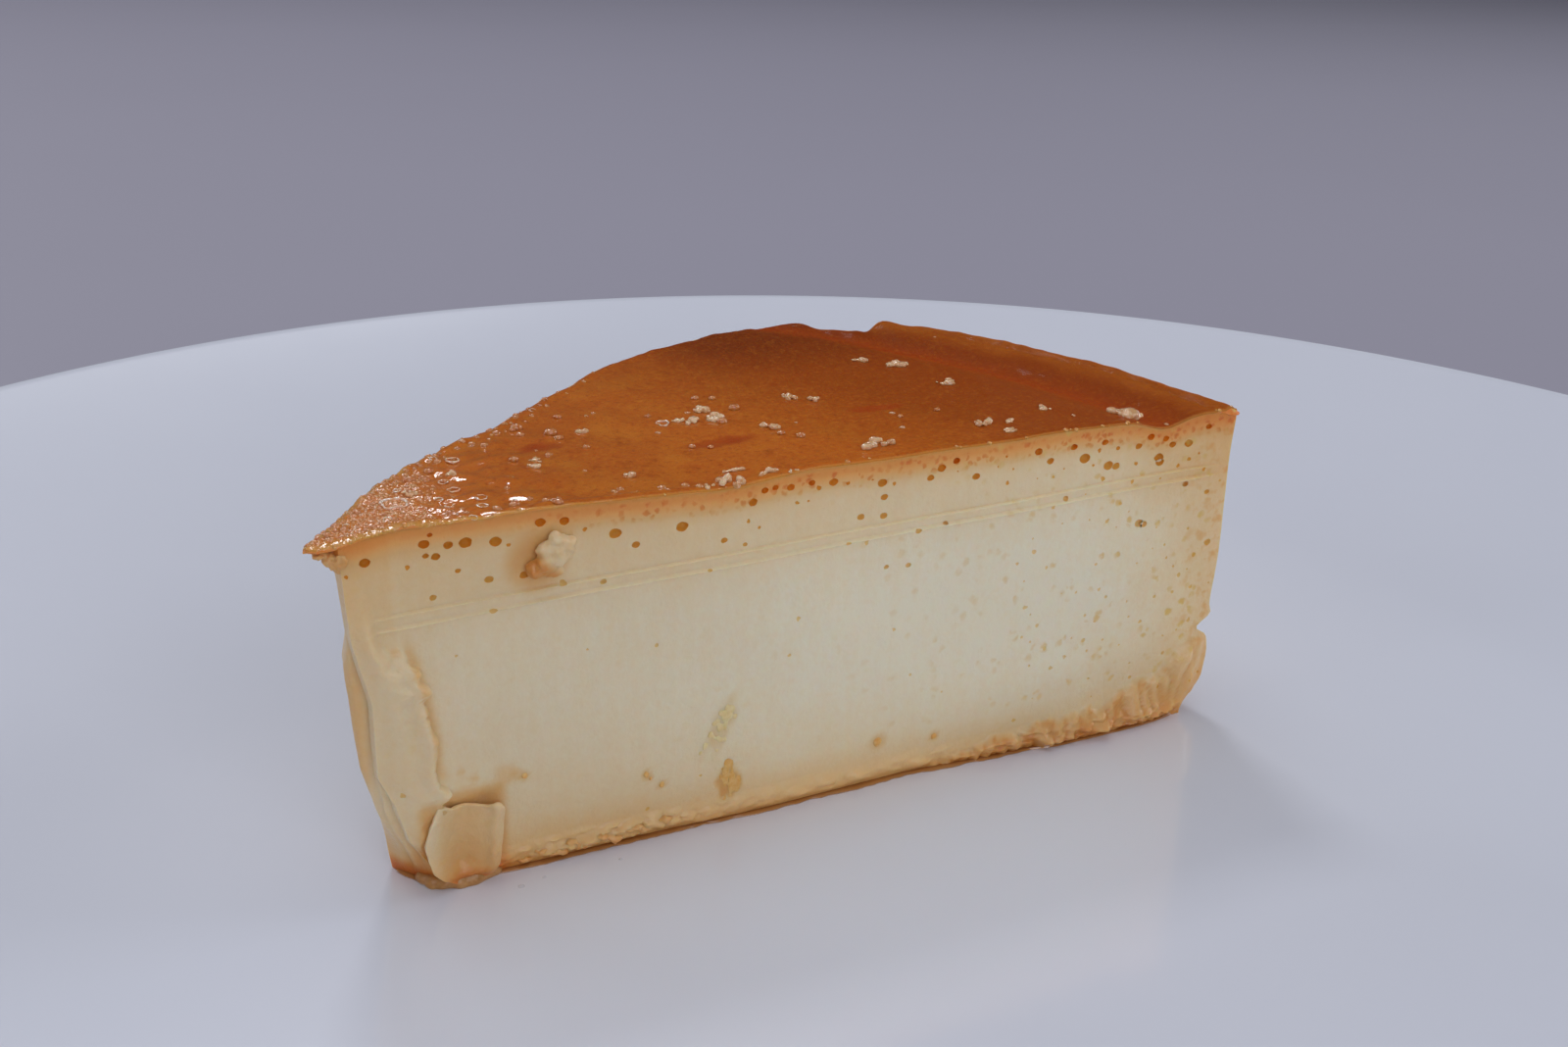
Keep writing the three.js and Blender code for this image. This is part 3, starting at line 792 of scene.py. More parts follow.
# how much syrup the custard took up: pairs of a distance in millimetres and an amount
stains = {
    "cream": (0.90, 0.80, 0.60),
    "syrup": (0.12, 0.62, 1.4),  # how fast syrup takes out red, green and blue
    "pitSyrup": (0.13, 0.60, 1.7),
    "glow": 0.0009,
    "bubble": (0.80, 0.51, 0.12),
    "fromTop": [(0, 1.75), (0.3, 1.65), (0.8, 1.4), (1.2, 1.05), (1.7, 0.7), (2.2, 0.5), (2.7, 0.38),
                (3.2, 0.3), (4.5, 0.24), (6, 0.22), (8, 0.1), (11, 0.03), (14, 0)],
    "fromFoot": [(0, 2), (0.7, 1.5), (1.2, 1.1), (1.8, 0.9), (2.4, 0.75), (3, 0.6), (4, 0.42), (5, 0.25),
                 (6, 0.2), (7, 0.14), (10, 0.05), (13, 0)],
    "nearTip": [(-1, 0.27), (3, 0.2), (9, 0.17), (14, 0.14), (22, 0.12), (30, 0.08), (43, 0.02), (55, 0)],
    "nearTin": [(70, 0), (76, 0.12), (83, 0.32), (87, 0.5)],
    "frothDepths": [(0.35, 0), (0.7, 1), (1.6, 0.9), (2.4, 0)],
}


def stained(finish, amount, shade, syrup):
    # custard cream seen through that much syrup
    channels = [(amount * -k).exp() * shade * c for c, k in zip(stains["cream"], stains[syrup])]
    return finish.add("ShaderNodeCombineColor", None, dict(enumerate(channels)))


def custardFinish(name, extra=0.0, gloss=0.4, shine=1.0, glow=stains["glow"]):
    f = Finish(name)
    place = f.wedgePlace()
    x, y, z = f.axes(place)
    depth = f.attribute("depth")
    soak = f.attribute("soak")
    blotch = f.noise(place, 5, 3)
    speck = f.noise(place, 0.7, 3, rough=0.65)
    streak = f.noise(place, 1.3, 2, (1, 1, 7))
    wander = (blotch - 0.5) * 1.3 + (speck - 0.5) * 0.9
    fromTop = f.line(depth + wander * 0.55, *stains["fromTop"])
    fromFoot = f.line(z + wander * 0.5, *stains["fromFoot"])
    nearTip = f.line(x + wander * 2, *stains["nearTip"])
    low = f.line(z, (0, 1.3), (7, 1.2), (14, 0.9), (32, 0.7))
    nearTin = f.line(x + y * 0.12 + wander * 2, *stains["nearTin"])
    tinBlotch = f.line(f.noise(place, 1.3, 2), (0.52, 0), (0.7, 0.5)) * f.line(x, (80, 0), (85, 1))
    nearTin = nearTin + tinBlotch * f.line(z, (5, 0), (10, 1), (30, 1))
    amount = fromTop + fromFoot * 0.6 + nearTip * low + nearTin + soak
    amount = amount + (blotch - 0.5) * 0.16 + (speck - 0.5) * 0.22 + (streak - 0.5) * 0.12
    # faint closed bubbles: many towards the tin's side, and an orange froth right under the caramel
    bent = f.multiplyAdd(f.swirl(place, 0.9), (0.9,) * 3, place)
    dot = f.line(f.cells(bent, 1.45), (0, 1), (0.16, 0.9), (0.33, 0))
    froth = f.line(f.cells(bent, 0.75), (0, 1), (0.25, 0.9), (0.45, 0))
    froth = froth * f.line(f.noise(place, 1.7, 1), (0.38, 0.3), (0.55, 1))
    many = f.line(x + (blotch - 0.5) * 16, (40, 0.12), (66, 0.55), (80, 0.9))
    many = many * f.line(z, (2, 0), (6, 1), (29, 1))
    frothy = f.line(x, (12, 0), (24, 1)) * f.line(depth + (speck - 0.5) * 0.8, *stains["frothDepths"])
    closed = dot * many * f.line(f.noise(place, 2.4, 1), (0.42, 0), (0.6, 1))
    holes = closed + froth * frothy * 0.8
    amount = amount + frothy * (froth * 0.95 + 0.16)
    # painted shade towards the tip, in the faint bubble holes and at the foot, and painted light just under
    # the caramel
    shade = 1.0 - holes * 0.05 - f.line(x, (0, 0.09), (20, 0.07), (43, 0))
    paintedFootShade = f.line(z, (0, 0.17), (4, 0.1), (9, 0)) * f.line(x, (52, 0), (66, 1), (76, 0.8), (84, 0.1))
    shade = shade - paintedFootShade + f.line(depth, (0, 0.24), (0.35, 0.18), (1.2, 0.12), (2.0, 0))
    if extra:
        amount = amount + f.line(depth, (0, extra), (4, extra * 0.8), (7, extra * 0.35), (30, extra * 0.25))
    colour = stained(f, amount.atLeast(0), shade, "pitSyrup" if extra else "syrup")
    colour = f.mix(closed, colour, stains["bubble"])
    pores = f.noise(place, 0.35, 3, rough=0.7)
    fine = f.relief(pores + f.noise(place, 1.6, 2) * 1.2 - holes * 0.8, 0.00008)
    damp = f.line(pores, (0.25, gloss - 0.08), (0.75, gloss + 0.1))
    wet = f.line(x, (0, 0.08), (9, 0.25)) * shine
    return f.principled(BaseColor=colour, Roughness=damp, Normal=fine, SubsurfaceWeight=0.65,
                        SubsurfaceRadius=(1.0, 0.62, 0.38), SubsurfaceScale=glow, CoatWeight=wet,
                        CoatRoughness=0.18, SpecularIORLevel=0.5 * shine, IOR=1.42)


caramelTones = {
    "dark": (0.275, 0.044, 0.002),
    "base": (0.52, 0.119, 0.010),
    "yellow": (0.59, 0.172, 0.016),
    "tip": (0.74, 0.215, 0.035),
    # the tip froth's pale tone, also painted glints
    "foam": (0.98, 0.57, 0.31),
    "rim": (0.76, 0.35, 0.08),
    "hollow": (0.38, 0.050, 0.004),
    "deep": (0.185, 0.030, 0.002),
}

# darker dips in the caramel: x, y and the two half widths
caramelHollows = [(35.9, 10.2, 3.6, 1.0), (20.5, 14.2, 2.0, 1.1), (53.0, 13.0, 3.0, 0.9)]


def caramelFinish():
    f = Finish("caramelSkin")
    place = f.wedgePlace()
    x, y, _ = f.axes(place)
    fromEdge = f.attribute("edge")
    cloud = f.noise(place, 6.5, 3)
    patch = f.noise(place, 2.2, 3, rough=0.6)
    speck = f.noise(place, 0.45, 3, rough=0.7)
    fine = f.noise(place, 0.24, 2, rough=0.6)
    far = f.line(x + y * 0.6 + (cloud - 0.5) * 14, (44, 0), (66, 0.8), (86, 1))
    tinX = x - wedge["tinCentre"][0]
    tinY = y - wedge["tinCentre"][1]
    fromTin = tinX * tinX + tinY * tinY  # squared
    tipShare = f.line(x + (cloud - 0.5) * 6, (0, 1), (6, 0.8), (12, 0))
    deep = f.line(y + (patch - 0.5) * 9, (25, 0), (36, 0.9)) * f.line(x, (38, 0), (47, 1), (60, 1), (68, 0.2))
    rim = fromEdge * f.line(x, (4, 0.65), (9, 1), (16, 2)) + (speck - 0.5) * 0.7 + (fine - 0.5) * 0.4
    rim = f.line(rim, (0, 1), (0.2, 0.8), (0.65, 0)) * f.line(x, (10, 1), (22, 0.55), (86, 0.4))
    layers = [
        ("yellow", f.line(cloud + (patch - 0.5) * 0.4, (0.48, 0), (0.72, 0.8))),
        ("dark", far),
        ("dark", f.line(patch, (0.2, 0.55), (0.42, 0))),
        ("deep", deep),
        # a darker line along the groove beside the tin's side, lighter at its rim
        ("hollow", f.line(fromTin + (patch - 0.5) * 500, (5350, 0), (5800, 0.6), (6250, 0))),
        ("yellow", f.line(fromTin + (cloud - 0.5) * 900, (6350, 0), (6800, 0.3), (7150, 0.4))),
        ("tip", f.line(x + (cloud - 0.5) * 6, (1, 1), (6, 0.75), (11, 0.3), (17, 0))),
        ("yellow", f.line(speck, (0.52, 0), (0.7, 0.8)) * f.line(far, (0, 1), (1, 0.35))),
        ("dark", f.line(speck, (0.3, 0.6), (0.45, 0))),
    ]
    for hollowX, hollowY, halfLong, halfWide in caramelHollows:
        dx = (x - hollowX) * (1 / halfLong)
        dy = (y - hollowY) * (1 / halfWide)
        reach = dx * dx + dy * dy + (patch - 0.5) * 1.6
        layers.append(("hollow", f.line(reach, (0, 0.8), (0.6, 0.6), (1.3, 0))))
    # pale froth at the tip, partly painted glints
    layers += [("foam", tipShare * f.line(fine, (0.53, 0), (0.62, 0.45))), ("rim", rim)]
    colour = caramelTones["base"]
    for tone, share in layers:
        colour = f.mix(share, colour, caramelTones[tone])
    skin = f.relief(f.noise(place, 0.28, 3, rough=0.65) * 1.8 + patch * 2.5 + fine * tipShare * 5.0, 0.00006)
    damp = f.line(speck, (0.3, 0.36), (0.7, 0.5)) - tipShare * 0.2
    wet = f.line(x + (cloud - 0.5) * 12, (0, 0.8), (8, 1), (26, 0.7), (42, 0.22), (54, 0.03), (86, 0.02))
    return f.principled(BaseColor=colour, Roughness=damp, Normal=skin, SubsurfaceWeight=0.35,
                        SubsurfaceRadius=(1.0, 0.35, 0.1), SubsurfaceScale=0.0009, SpecularIORLevel=0.04,
                        CoatWeight=wet, CoatRoughness=0.04, IOR=1.45)


# lumps in two tones: both colours, the pattern's size, the glow, the roughness and the coat
lumpTones = {
    "paleCrumbs": ((0.60, 0.24, 0.08), (0.78, 0.46, 0.26), 0.8, 0.0002, 0.25, 1.0),
    "largeCrumbs": ((0.66, 0.32, 0.12), (0.86, 0.60, 0.36), 1.1, 0.0003, 0.2, 1.0),
    # the bubble rims' whitish tone is a painted glint
    "paleRims": ((0.74, 0.34, 0.13), (0.96, 0.80, 0.66), 0.35, 0.0002, 0.1, 1.0),
    # the froth beads' pale tone is partly painted glints
    "tipFroth": ((0.64, 0.19, 0.03), (0.93, 0.51, 0.26), 0.3, 0.0002, 0.12, 1.0),
    "amberBeads": ((0.52, 0.15, 0.025), (0.66, 0.28, 0.09), 0.6, 0.0006, 0.12, 1.0),
    "orangeCustard": ((0.80, 0.40, 0.09), (0.86, 0.52, 0.18), 0.6, 0.0002, 0.4, 0.2),
    "goldenFroth": ((0.64, 0.21, 0.025), (0.78, 0.36, 0.08), 0.5, 0.0005, 0.25, 0.8),
    # the wet foot's syrup brown, darkened further as painted shade under the curl
    "wetCustard": ((0.44, 0.20, 0.055), (0.56, 0.29, 0.10), 0.9, 0.0003, 0.3, 0.12),
    "yellowCustard": ((0.83, 0.61, 0.28), (0.88, 0.70, 0.38), 0.7, 0.0002, 0.45, 0.1),
}


def lumpFinish(name):
    first, second, size, glow, rough, coat = lumpTones[name]
    f = Finish(name)
    place = f.wedgePlace()
    share = f.noise(place, size, 3, rough=0.65)
    colour = f.mix(f.line(share, (0.36, 0), (0.64, 1)), first, second)
    grainy = f.relief(f.noise(place, 0.22, 3, rough=0.7), 0.00006)
    return f.principled(BaseColor=colour, Roughness=rough, Normal=grainy, SubsurfaceWeight=0.6,
                        SubsurfaceRadius=(1.0, 0.62, 0.38), SubsurfaceScale=glow,
                        CoatWeight=coat, CoatRoughness=0.05, IOR=1.42)


def porcelainFinish():
    f = Finish("glazedPorcelain")
    cloud = f.noise(f.place, 0.03, 2)
    colour = f.mix(cloud, *plate["white"])
    # hairline scratches from cutlery, in patches
    scratch = f.noise(f.place, 0.0016, 1, (1, 22, 1))
    crossing = f.noise(f.place, 0.0014, 1, (18, 1.2, 1))
    mask = f.line(f.noise(f.place, 0.02, 2), (0.45, 0), (0.7, 1))
    worn = f.line(scratch.atLeast(crossing), (0.74, 0), (0.80, 0.12)) * mask
    wave = f.relief(f.noise(f.place, 0.012, 1), 0.00003)
    return f.principled(BaseColor=colour, Roughness=worn + 0.17, Normal=wave, CoatWeight=0.5,
                        CoatRoughness=0.08, IOR=1.5)


custardSkin = custardFinish("custardSkin")
pitSkin = custardFinish("custardPits", extra=1.3, shine=0.2)
thinSkin = custardFinish("thinCustard", glow=0.0003)
caramelSkin = caramelFinish()
crumbSkin, largeSkin, rimGlintSkin, tipFrothGlintSkin, amberSkin, orangeSkin, frothSkin, wetShadedSkin, yolkSkin = (
    lumpFinish(name) for name in lumpTones)
print("finishes made")


# the plate, in millimetres
plate = {
    "rim": 140.45,
    "well": 55.0,
    "wellTop": 7.0,
    "rise": 12.3,
    "wall": 4.0,
    "lip": 1.6,
    "foot": (75.5, 82.0, 83.8),  # the foot ring's inner and outer radius, and where the wall leaves it
    "segments": 256,
    "white": ((0.715, 0.715, 0.80), (0.74, 0.74, 0.82)),
}


def plateTop(radius):
    bend = np.maximum(0, radius - plate["well"]) / (plate["rim"] - plate["lip"] - plate["well"])
    return plate["wellTop"] + plate["rise"] * bend ** 2


def plateProfile():
    inner, outer, root = plate["foot"]
    lipCentre = plate["rim"] - plate["lip"]
    lipHeight = plateTop(lipCentre) - plate["lip"]
    under = np.linspace(6, inner - 0.6, 22)
    profile = [(r, plateTop(r) - plate["wall"]) for r in under]
    profile += [(inner, 0.7), (inner + 0.25, 0.22), (inner + 0.8, 0), (outer - 0.8, 0), (outer - 0.25, 0.22),
                (outer, 0.7)]
    beyond = np.linspace(root, lipCentre - 2.6, 40)
    profile += [(r, plateTop(r) - plate["wall"]) for r in beyond]
    turn = np.radians(np.linspace(-80, 90, 14))
    profile += list(zip(lipCentre + plate["lip"] * np.cos(turn), lipHeight + plate["lip"] * np.sin(turn)))
    back = np.concatenate([np.linspace(lipCentre - 1, plate["well"], 70), np.linspace(50, 4, 14)])
    profile += [(r, plateTop(r)) for r in back]
    return np.array(profile)


def turned(name, profile, segments, finish):
    # a lathe form from a profile that starts under the middle and ends on top
    angle = np.linspace(0, 2 * np.pi, segments, endpoint=False)
    rings = [np.stack([r * np.cos(angle), r * np.sin(angle), np.full(segments, z)], 1) for r, z in profile]
    points, faces = stackedRings(rings)
    return makePiece(name, points * 0.001, faces, finish, inMetres=True)


plateGlazed = turned("plateGlazed", plateProfile(), plate["segments"], porcelainFinish())
print("plate made")

# the custard wedge, with its bubble holes cut in
rings, walls = custardRings()
custardBody = makePiece("custardBody", *stackedRings(rings), custardSkin, pitSkin)
px, py, pz = wedgePoints(custardBody.data).T
facing = outwardSides(custardBody.data)
below = topHeight(px, py) - pz
# small pits fall in a band under the caramel and towards the outer corner, clear of the large ones
where = smooth(0.9, 1.6, below) * smooth(5, 2.6, below) * (0.12 + 0.6 * smooth(24, 40, px))
where += 0.35 * smooth(58, 66, px) * smooth(2, 5, pz) * smooth(31, 28, pz) + 0.05
where *= smooth(0.35, 0.2, np.abs(facing[:, 2])) * smooth(1, 2, pz) * smooth(0.9, 1.6, below)
for pitX, pitZ, radius in custard["pits"]:
    reach = np.hypot(px - pitX, pz - pitZ)
    where *= np.where(py < 3, smooth(radius * 1.2, radius * 1.2 + 0.8, reach), 1)
besideLump = smooth(13.8, 15, px) * smooth(32.6, 31.6, px) * smooth(4, 3, py) * smooth(26.5, 27.5, pz)
where *= 1 - besideLump * 0.5
smallPits = scattered("smallPits", custardBody, where, lumpyShapes(3, 2, 0.25, 0.9, 5), pitSkin,
                      *custard["smallPits"])
spots = []
for index, (pitX, pitZ, radius) in enumerate(custard["pits"]):
    onStrip = cutFace["stripProud"] * stripHeight(pitX, pitZ) * smooth(0.2, -0.2, pitX - stripEdge(pitZ))
    side = -(frontRelief(pitX, pitZ) + onStrip)
    wide = 1.15 + 0.35 * noise.noise((index, 2, 1))
    radii = (radius * wide, radius * 1.05, radius * 1.05 / wide)
    spots.append(((pitX, side - 0.22 * radius, pitZ), radii))
largePits = blobs("largePits", spots, 3, 0.14, pitSkin)
cutter = joined("pitCutter", [largePits, smallPits])
carve = custardBody.modifiers.new("pits", "BOOLEAN")
carve.operation = "DIFFERENCE"
carve.object = cutter
carve.solver = "MANIFOLD"
carve.material_mode = "TRANSFER"
baked(custardBody)
bpy.data.meshes.remove(cutter.data)
custardBody.data.set_sharp_from_angle(angle=math.radians(50))

faceMarks = {
    # faint stains above the curl and beside the strip, and small yellow grains: x, z and size
    "stains": [(12.0, 9.6, 0.9), (12.9, 9.3, 0.6), (9.3, 9.8, 0.4), (8.2, 10.6, 0.35), (3.3, 22.7, 0.35)],
    "grains": [(24.5, 6.6, 0.34), (26.0, 5.2, 0.32), (48.0, 4.4, 0.62), (24.9, 6.1, 0.2), (13.6, 9.0, 0.3),
               (54.2, 3.6, 0.4)],
    # the middles of the small lump, the smear and the orange patch, and the smear's slant
    "lump": (15.2, 28.1),
    "smear": (31.5, 9.8),
    "smearTurn": (0.42, 0.91),
    "patch": (32.4, 3.9),
    # how much syrup each place took up, and how much painted shade lies beside the strip and behind the curl
    "soak": {
        "besideStrip": 0.5, "strip": 0.1, "lump": 0.6, "behindCurl": 0.6, "crust": 0.36, "crustFolds": 0.55,
        "stains": 0.28, "grains": 0.4, "smear": 0.3, "patch": 0.8, "creases": 0.4, "tipFoot": 1.3,
    },
}


def halos(x, z, marks, near, far):
    # soft round stains at the marks
    reaches = [np.hypot(x - markX, z - markZ) / size for markX, markZ, size in marks]
    return sum(smooth(far, near, reach) for reach in reaches)


def soaked(points):
    # extra syrup in the custard round the lump and in the tip's creases, and painted shade beside the strip
    # and behind the curl
    x, y, z = points.T
    soak = faceMarks["soak"]
    fromSeam = x - stripEdge(z)
    # painted shade along the face beside the strip's raised edge
    paintedShadeBesideStrip = soak["besideStrip"] * smooth(-0.1, 0.2, fromSeam) * smooth(1.3, 0.3, fromSeam)
    paintedShadeBesideStrip = paintedShadeBesideStrip * smooth(9, 12, z) * smooth(25, 21, z)
    onStrip = soak["strip"] * smooth(0.2, -0.4, fromSeam) * smooth(9, 12, z)
    lumpX, lumpZ = faceMarks["lump"]
    lump = soak["lump"] * smooth(3.3, 1.3, np.hypot(x - lumpX, z - lumpZ))
    # painted warm shade in the gap behind the curl and just above it
    paintedShadeBehindCurl = soak["behindCurl"] * smooth(3.8, 4.8, x) * smooth(12.4, 11.2, x) * smooth(9.4, 8.2, z)
    crust = soak["crust"] + soak["crustFolds"] * smooth(0.16, 0.02, crustFolds(x, z))
    crust = crust * crustShare(x, z) * (1 - 0.6 * smooth(75, 83, x))
    uneven = 0.5 * grain(facePoints(x, z), (0.7, 1, 1.3), 75)
    smearX, smearZ = x - faceMarks["smear"][0], z - faceMarks["smear"][1]
    turn = faceMarks["smearTurn"]
    ahead, aside = smearX * turn[0] + smearZ * turn[1], smearX * turn[1] - smearZ * turn[0]
    smear = soak["smear"] * smooth(1.25, 0.5, np.hypot(ahead / 2.9, aside / 1.1) + uneven)
    patchX, patchZ = faceMarks["patch"]
    patch = soak["patch"] * smooth(1.15, 0.5, np.hypot((x - patchX) / 1.3, (z - patchZ) / 2.0) + uneven)
    onFront = paintedShadeBesideStrip + onStrip + lump + paintedShadeBehindCurl + crust
    onFront = onFront + soak["stains"] * halos(x, z, faceMarks["stains"], 0.3, 1.6)
    onFront = onFront + smear + patch + soak["grains"] * halos(x, z, faceMarks["grains"], 0.6, 2.2)
    creases = soak["creases"] * smooth(1.5, 0.2, x) * smooth(0.2, 0.8, y) * smooth(27, 18, z)
    creases = creases + soak["tipFoot"] * smooth(2.0, 0.5, z) * smooth(16, 8, x)
    return onFront * smooth(3.5, 1.5, y) + creases


def paintCustard(mesh, soak, depth=None):
    points = wedgePoints(mesh)
    if depth is None:
        depth = topHeight(points[:, 0], points[:, 1]) - points[:, 2]
    paint(mesh, "depth", np.broadcast_to(depth, len(points)))
    paint(mesh, "soak", np.broadcast_to(soak, len(points)))


paintCustard(custardBody.data, soaked(wedgePoints(custardBody.data)))
print("custard made:", sum(len(face.vertices) - 2 for face in custardBody.data.polygons), "triangles")

# the caramel layer
caramel = {
    "rows": 120,
    "tipStep": 0.14,
    "step": 0.33,
    "tinColumns": 70,
    "edgeRows": (0.0, 0.02, 0.06, 0.12, 0.2, 0.32, 0.5, 0.75),
    "rounding": (0.14, 0.4, 0.35),  # of the front edge, of the far edge, and more of it at the outer corner
    "waves": [(0.06, 3.2, 5), (0.02, 1.1, 6)],  # depth, size and seed
    "farWaves": [(0.14, 1.5, 79)],
    "tipWaves": [(0.27, 1.75, 77)],
    "tipWavesReach": 24.0,
    "foamReach": 14.0,
    "foam": (0.09, 0.42),  # height and cell size
    "foamRidges": [(0.07, 0.45, 9)],
    "hollowDepth": 0.16,
    "cornerRim": (0.35, 1.2, 0.7),  # height, distance from the edge and width
    "edgeRim": (0.1, 0.7, 0.4),
    "nubDrop": 0.45,
    "cornerDrop": 0.3,
    "sideDepths": (0.08, 0.15, 0.2, 0.24, 1.5),
    "sideSwells": (0.02, 0.02, 0.0, -0.3, -0.6),
    "nubTaper": (0.0, 0.1, 0.32, 0.5, 0.3),
    "nubThickness": 0.55,
    "tabSwells": (0.12, 0.26, 0.32, 0.22, -0.3),
    # the nub's edge, from its end towards the front and towards the far side
    "nubFront": [(0, 0), (0.25, -0.5), (0.9, -0.85), (2.3, -0.82), (3.5, -0.66)],
    "nubFar": [(0, 0), (0.15, 0.6), (0.7, 1.2), (1.7, 2.2), (2.7, 3.2)],
}


def layerOutline():
    # the front and far edges of the layer as y over x, from the nub to the outer corner
    ring = walls[-1][:, :2]
    frontCount = cutFace["stripColumns"] + len(stripLip) + cutFace["columns"] - 1
    ends = np.cumsum([frontCount, *walledSides["columns"]])
    front = ring[:ends[0]]
    front = front[front[:, 0] > 1.5]
    far = ring[ends[0]:ends[3]][::-1]
    far = far[far[:, 0] > 0.5]
    front = np.vstack([np.add(wedge["nub"], caramel["nubFront"]), front])
    far = np.vstack([np.add(wedge["nub"], caramel["nubFar"]), far])
    return front, far


def nearTipOnly(places, reach, pattern):
    # a pattern worked out for the columns near the tip, and 0 beyond them
    values = np.zeros(places.shape[:-1])
    columns = places[0, :, 0] < reach
    values[:, columns] = pattern(places[:, columns])
    return values


def layerHeight(flat, fromFar, fromEdge):
    # the wedge's top with waves, froth and ridges at the tip, dips and a raised rim
    x, y = flat[..., 0], flat[..., 1]
    height = topHeight(x, y) + unevenness(flat, caramel["waves"])
    height += unevenness(flat, caramel["farWaves"]) * smooth(4, 0.8, fromFar) * smooth(24, 32, x)
    foamHeight, cellSize = caramel["foam"]
    foamReach = caramel["foamReach"]
    frothy = smooth(foamReach, 7, x + 1.5 * grain(flat, 3, 8))
    foam = nearTipOnly(flat, foamReach + 3, lambda places: cells(places, cellSize) - 0.4)
    ridges = nearTipOnly(flat, foamReach + 3, lambda places: unevenness(places, caramel["foamRidges"]))
    height += frothy * (foamHeight * foam + ridges)
    reach = caramel["tipWavesReach"]
    waves = nearTipOnly(flat, reach, lambda places: unevenness(places, caramel["tipWaves"]))
    height += waves * smooth(22, 15, x) * smooth(0, 4, x)
    for hollowX, hollowY, halfLong, halfWide in caramelHollows:
        height -= caramel["hollowDepth"] * bump(hollowX, halfLong * 0.8, x) * bump(hollowY, halfWide, y)
    rim = hump(caramel["cornerRim"], fromFar) * smooth(70, 76, x)
    return height + rim + hump(caramel["edgeRim"], fromEdge)


def caramelLayer():
    front, far = layerOutline()
    corner = far[-1] if far[-1, 0] > front[-1, 0] else front[-1]
    angle = np.radians(np.linspace(*wedge["tinDegrees"][::-1], caramel["tinColumns"]))
    tinX = wedge["tinCentre"][0] + wedge["tinRadius"] * np.cos(angle)
    nubX = wedge["nub"][0]
    tipX = nubX + np.array([0.03, 0.1, 0.2])
    x = np.concatenate([tipX, np.arange(nubX + 0.32, 16, caramel["tipStep"]),
                        np.arange(16, tinX[0] - 0.2, caramel["step"]), tinX])
    x = x[x < corner[0] - 0.02]
    near = np.interp(x, front[:, 0], front[:, 1])
    away = np.interp(x, far[:, 0], far[:, 1])
    away = np.maximum(away, near + 0.02)
    slope = np.gradient(away, x)
    lean = 1 / np.sqrt(1 + slope ** 2)
    span = away - near
    edge = np.array(caramel["edgeRows"])
    most = span * 0.3 * (np.arange(len(edge)) / len(edge))[:, None]
    reach = np.minimum(edge[:, None], most)
    farReach = np.minimum(edge[:, None] / lean, most)
    share = np.linspace(0, 1, caramel["rows"] + 2)[1:-1, None]
    middle = near + reach[-1] + (span - reach[-1] - farReach[-1]) * share
    rows = np.vstack([near + reach, middle, away - farReach[::-1]])
    grid = np.stack([np.broadcast_to(x, rows.shape), rows, np.zeros(rows.shape)], 2)
    fromNear = rows - near
    fromFar = (away - rows) * lean
    fromNub = np.hypot(grid[..., 0] - nubX, grid[..., 1] - wedge["nub"][1])
    fromEdge = np.minimum(np.minimum(fromNear, fromFar), fromNub + 0.02)
    frontRound, farRound, cornerRound = caramel["rounding"]
    radius = np.where(fromNear < fromFar, frontRound, farRound)
    radius = radius + cornerRound * smooth(68, 73, grid[..., 0]) * (fromFar < fromNear)
    inside = np.clip(radius - fromEdge, 0, None)
    drop = radius - np.sqrt(np.clip(radius ** 2 - inside ** 2, 0, None))
    grid[..., 2] = layerHeight(grid, fromFar, fromEdge) - drop
    points = grid.reshape(-1, 3)
    index = np.arange(rows.size).reshape(rows.shape)
    a, b = index[:-1, :-1], index[:-1, 1:]
    c, d = index[1:, 1:], index[1:, :-1]
    faces = np.stack([a, b, c, d], -1).reshape(-1, 4).tolist()
    nub = len(points)
    outer = nub + 1
    points = np.vstack([points, (*wedge["nub"], topHeight(*wedge["nub"]) - caramel["nubDrop"]),
                        (*corner, topHeight(*corner) - caramel["cornerDrop"])])
    for row in range(len(index) - 1):
        faces.append([nub, index[row, 0], index[row + 1, 0]])
        faces.append([outer, index[row + 1, -1], index[row, -1]])
    loop = np.concatenate([[nub], index[0], [outer], index[-1][::-1]])
    rim = points[loop]
    out = outwardOf(rim[:, :2], 1)
    top = topHeight(rim[:, 0], rim[:, 1])
    over = smooth(0.6, -0.8, rim[:, 0])
    tab = smooth(84.2, 85.6, rim[:, 0])
    last = loop
    for step, depth in enumerate(caramel["sideDepths"]):
        swell = caramel["sideSwells"][step] * (1 - tab) - over * caramel["nubTaper"][step]
        swell = swell + tab * caramel["tabSwells"][step]
        deep = depth + (over + tab) * (min(depth / 0.24, 1) * caramel["nubThickness"] - depth)
        z = np.minimum(top - deep, rim[:, 2] - 0.015 * (step + 1))
        ring = np.column_stack([rim[:, :2] + out * swell[:, None], z])
        start = len(points)
        points = np.vstack([points, ring])
        lower = start + np.arange(len(loop))
        faces += band(last, lower)
        last = lower
    count = len(index[0])
    for i in range(count - 1):
        nearA, nearB = last[1 + i], last[2 + i]
        farA, farB = last[len(loop) - 1 - i], last[len(loop) - 2 - i]
        faces.append([nearA, farA, farB, nearB])
    faces.append([last[0], last[len(loop) - 1], last[1]])
    faces.append([last[count + 1], last[count], last[count + 2]])
    edgeValue = np.zeros(len(points))
    edgeValue[:index.size] = fromEdge.ravel()
    return points, faces, edgeValue, index.size


layerPoints, layerFaces, layerEdge, layerTop = caramelLayer()
caramelTop = makePiece("caramelTop", layerPoints, layerFaces, caramelSkin, thinSkin)
paint(caramelTop.data, "edge", layerEdge)
paintCustard(caramelTop.data, 0.0)
caramelTop.data.set_sharp_from_angle(angle=math.radians(50))
for face in caramelTop.data.polygons:
    face.material_index = int(max(face.vertices) >= layerTop + 2)
print("caramel made:", len(layerFaces), "faces")

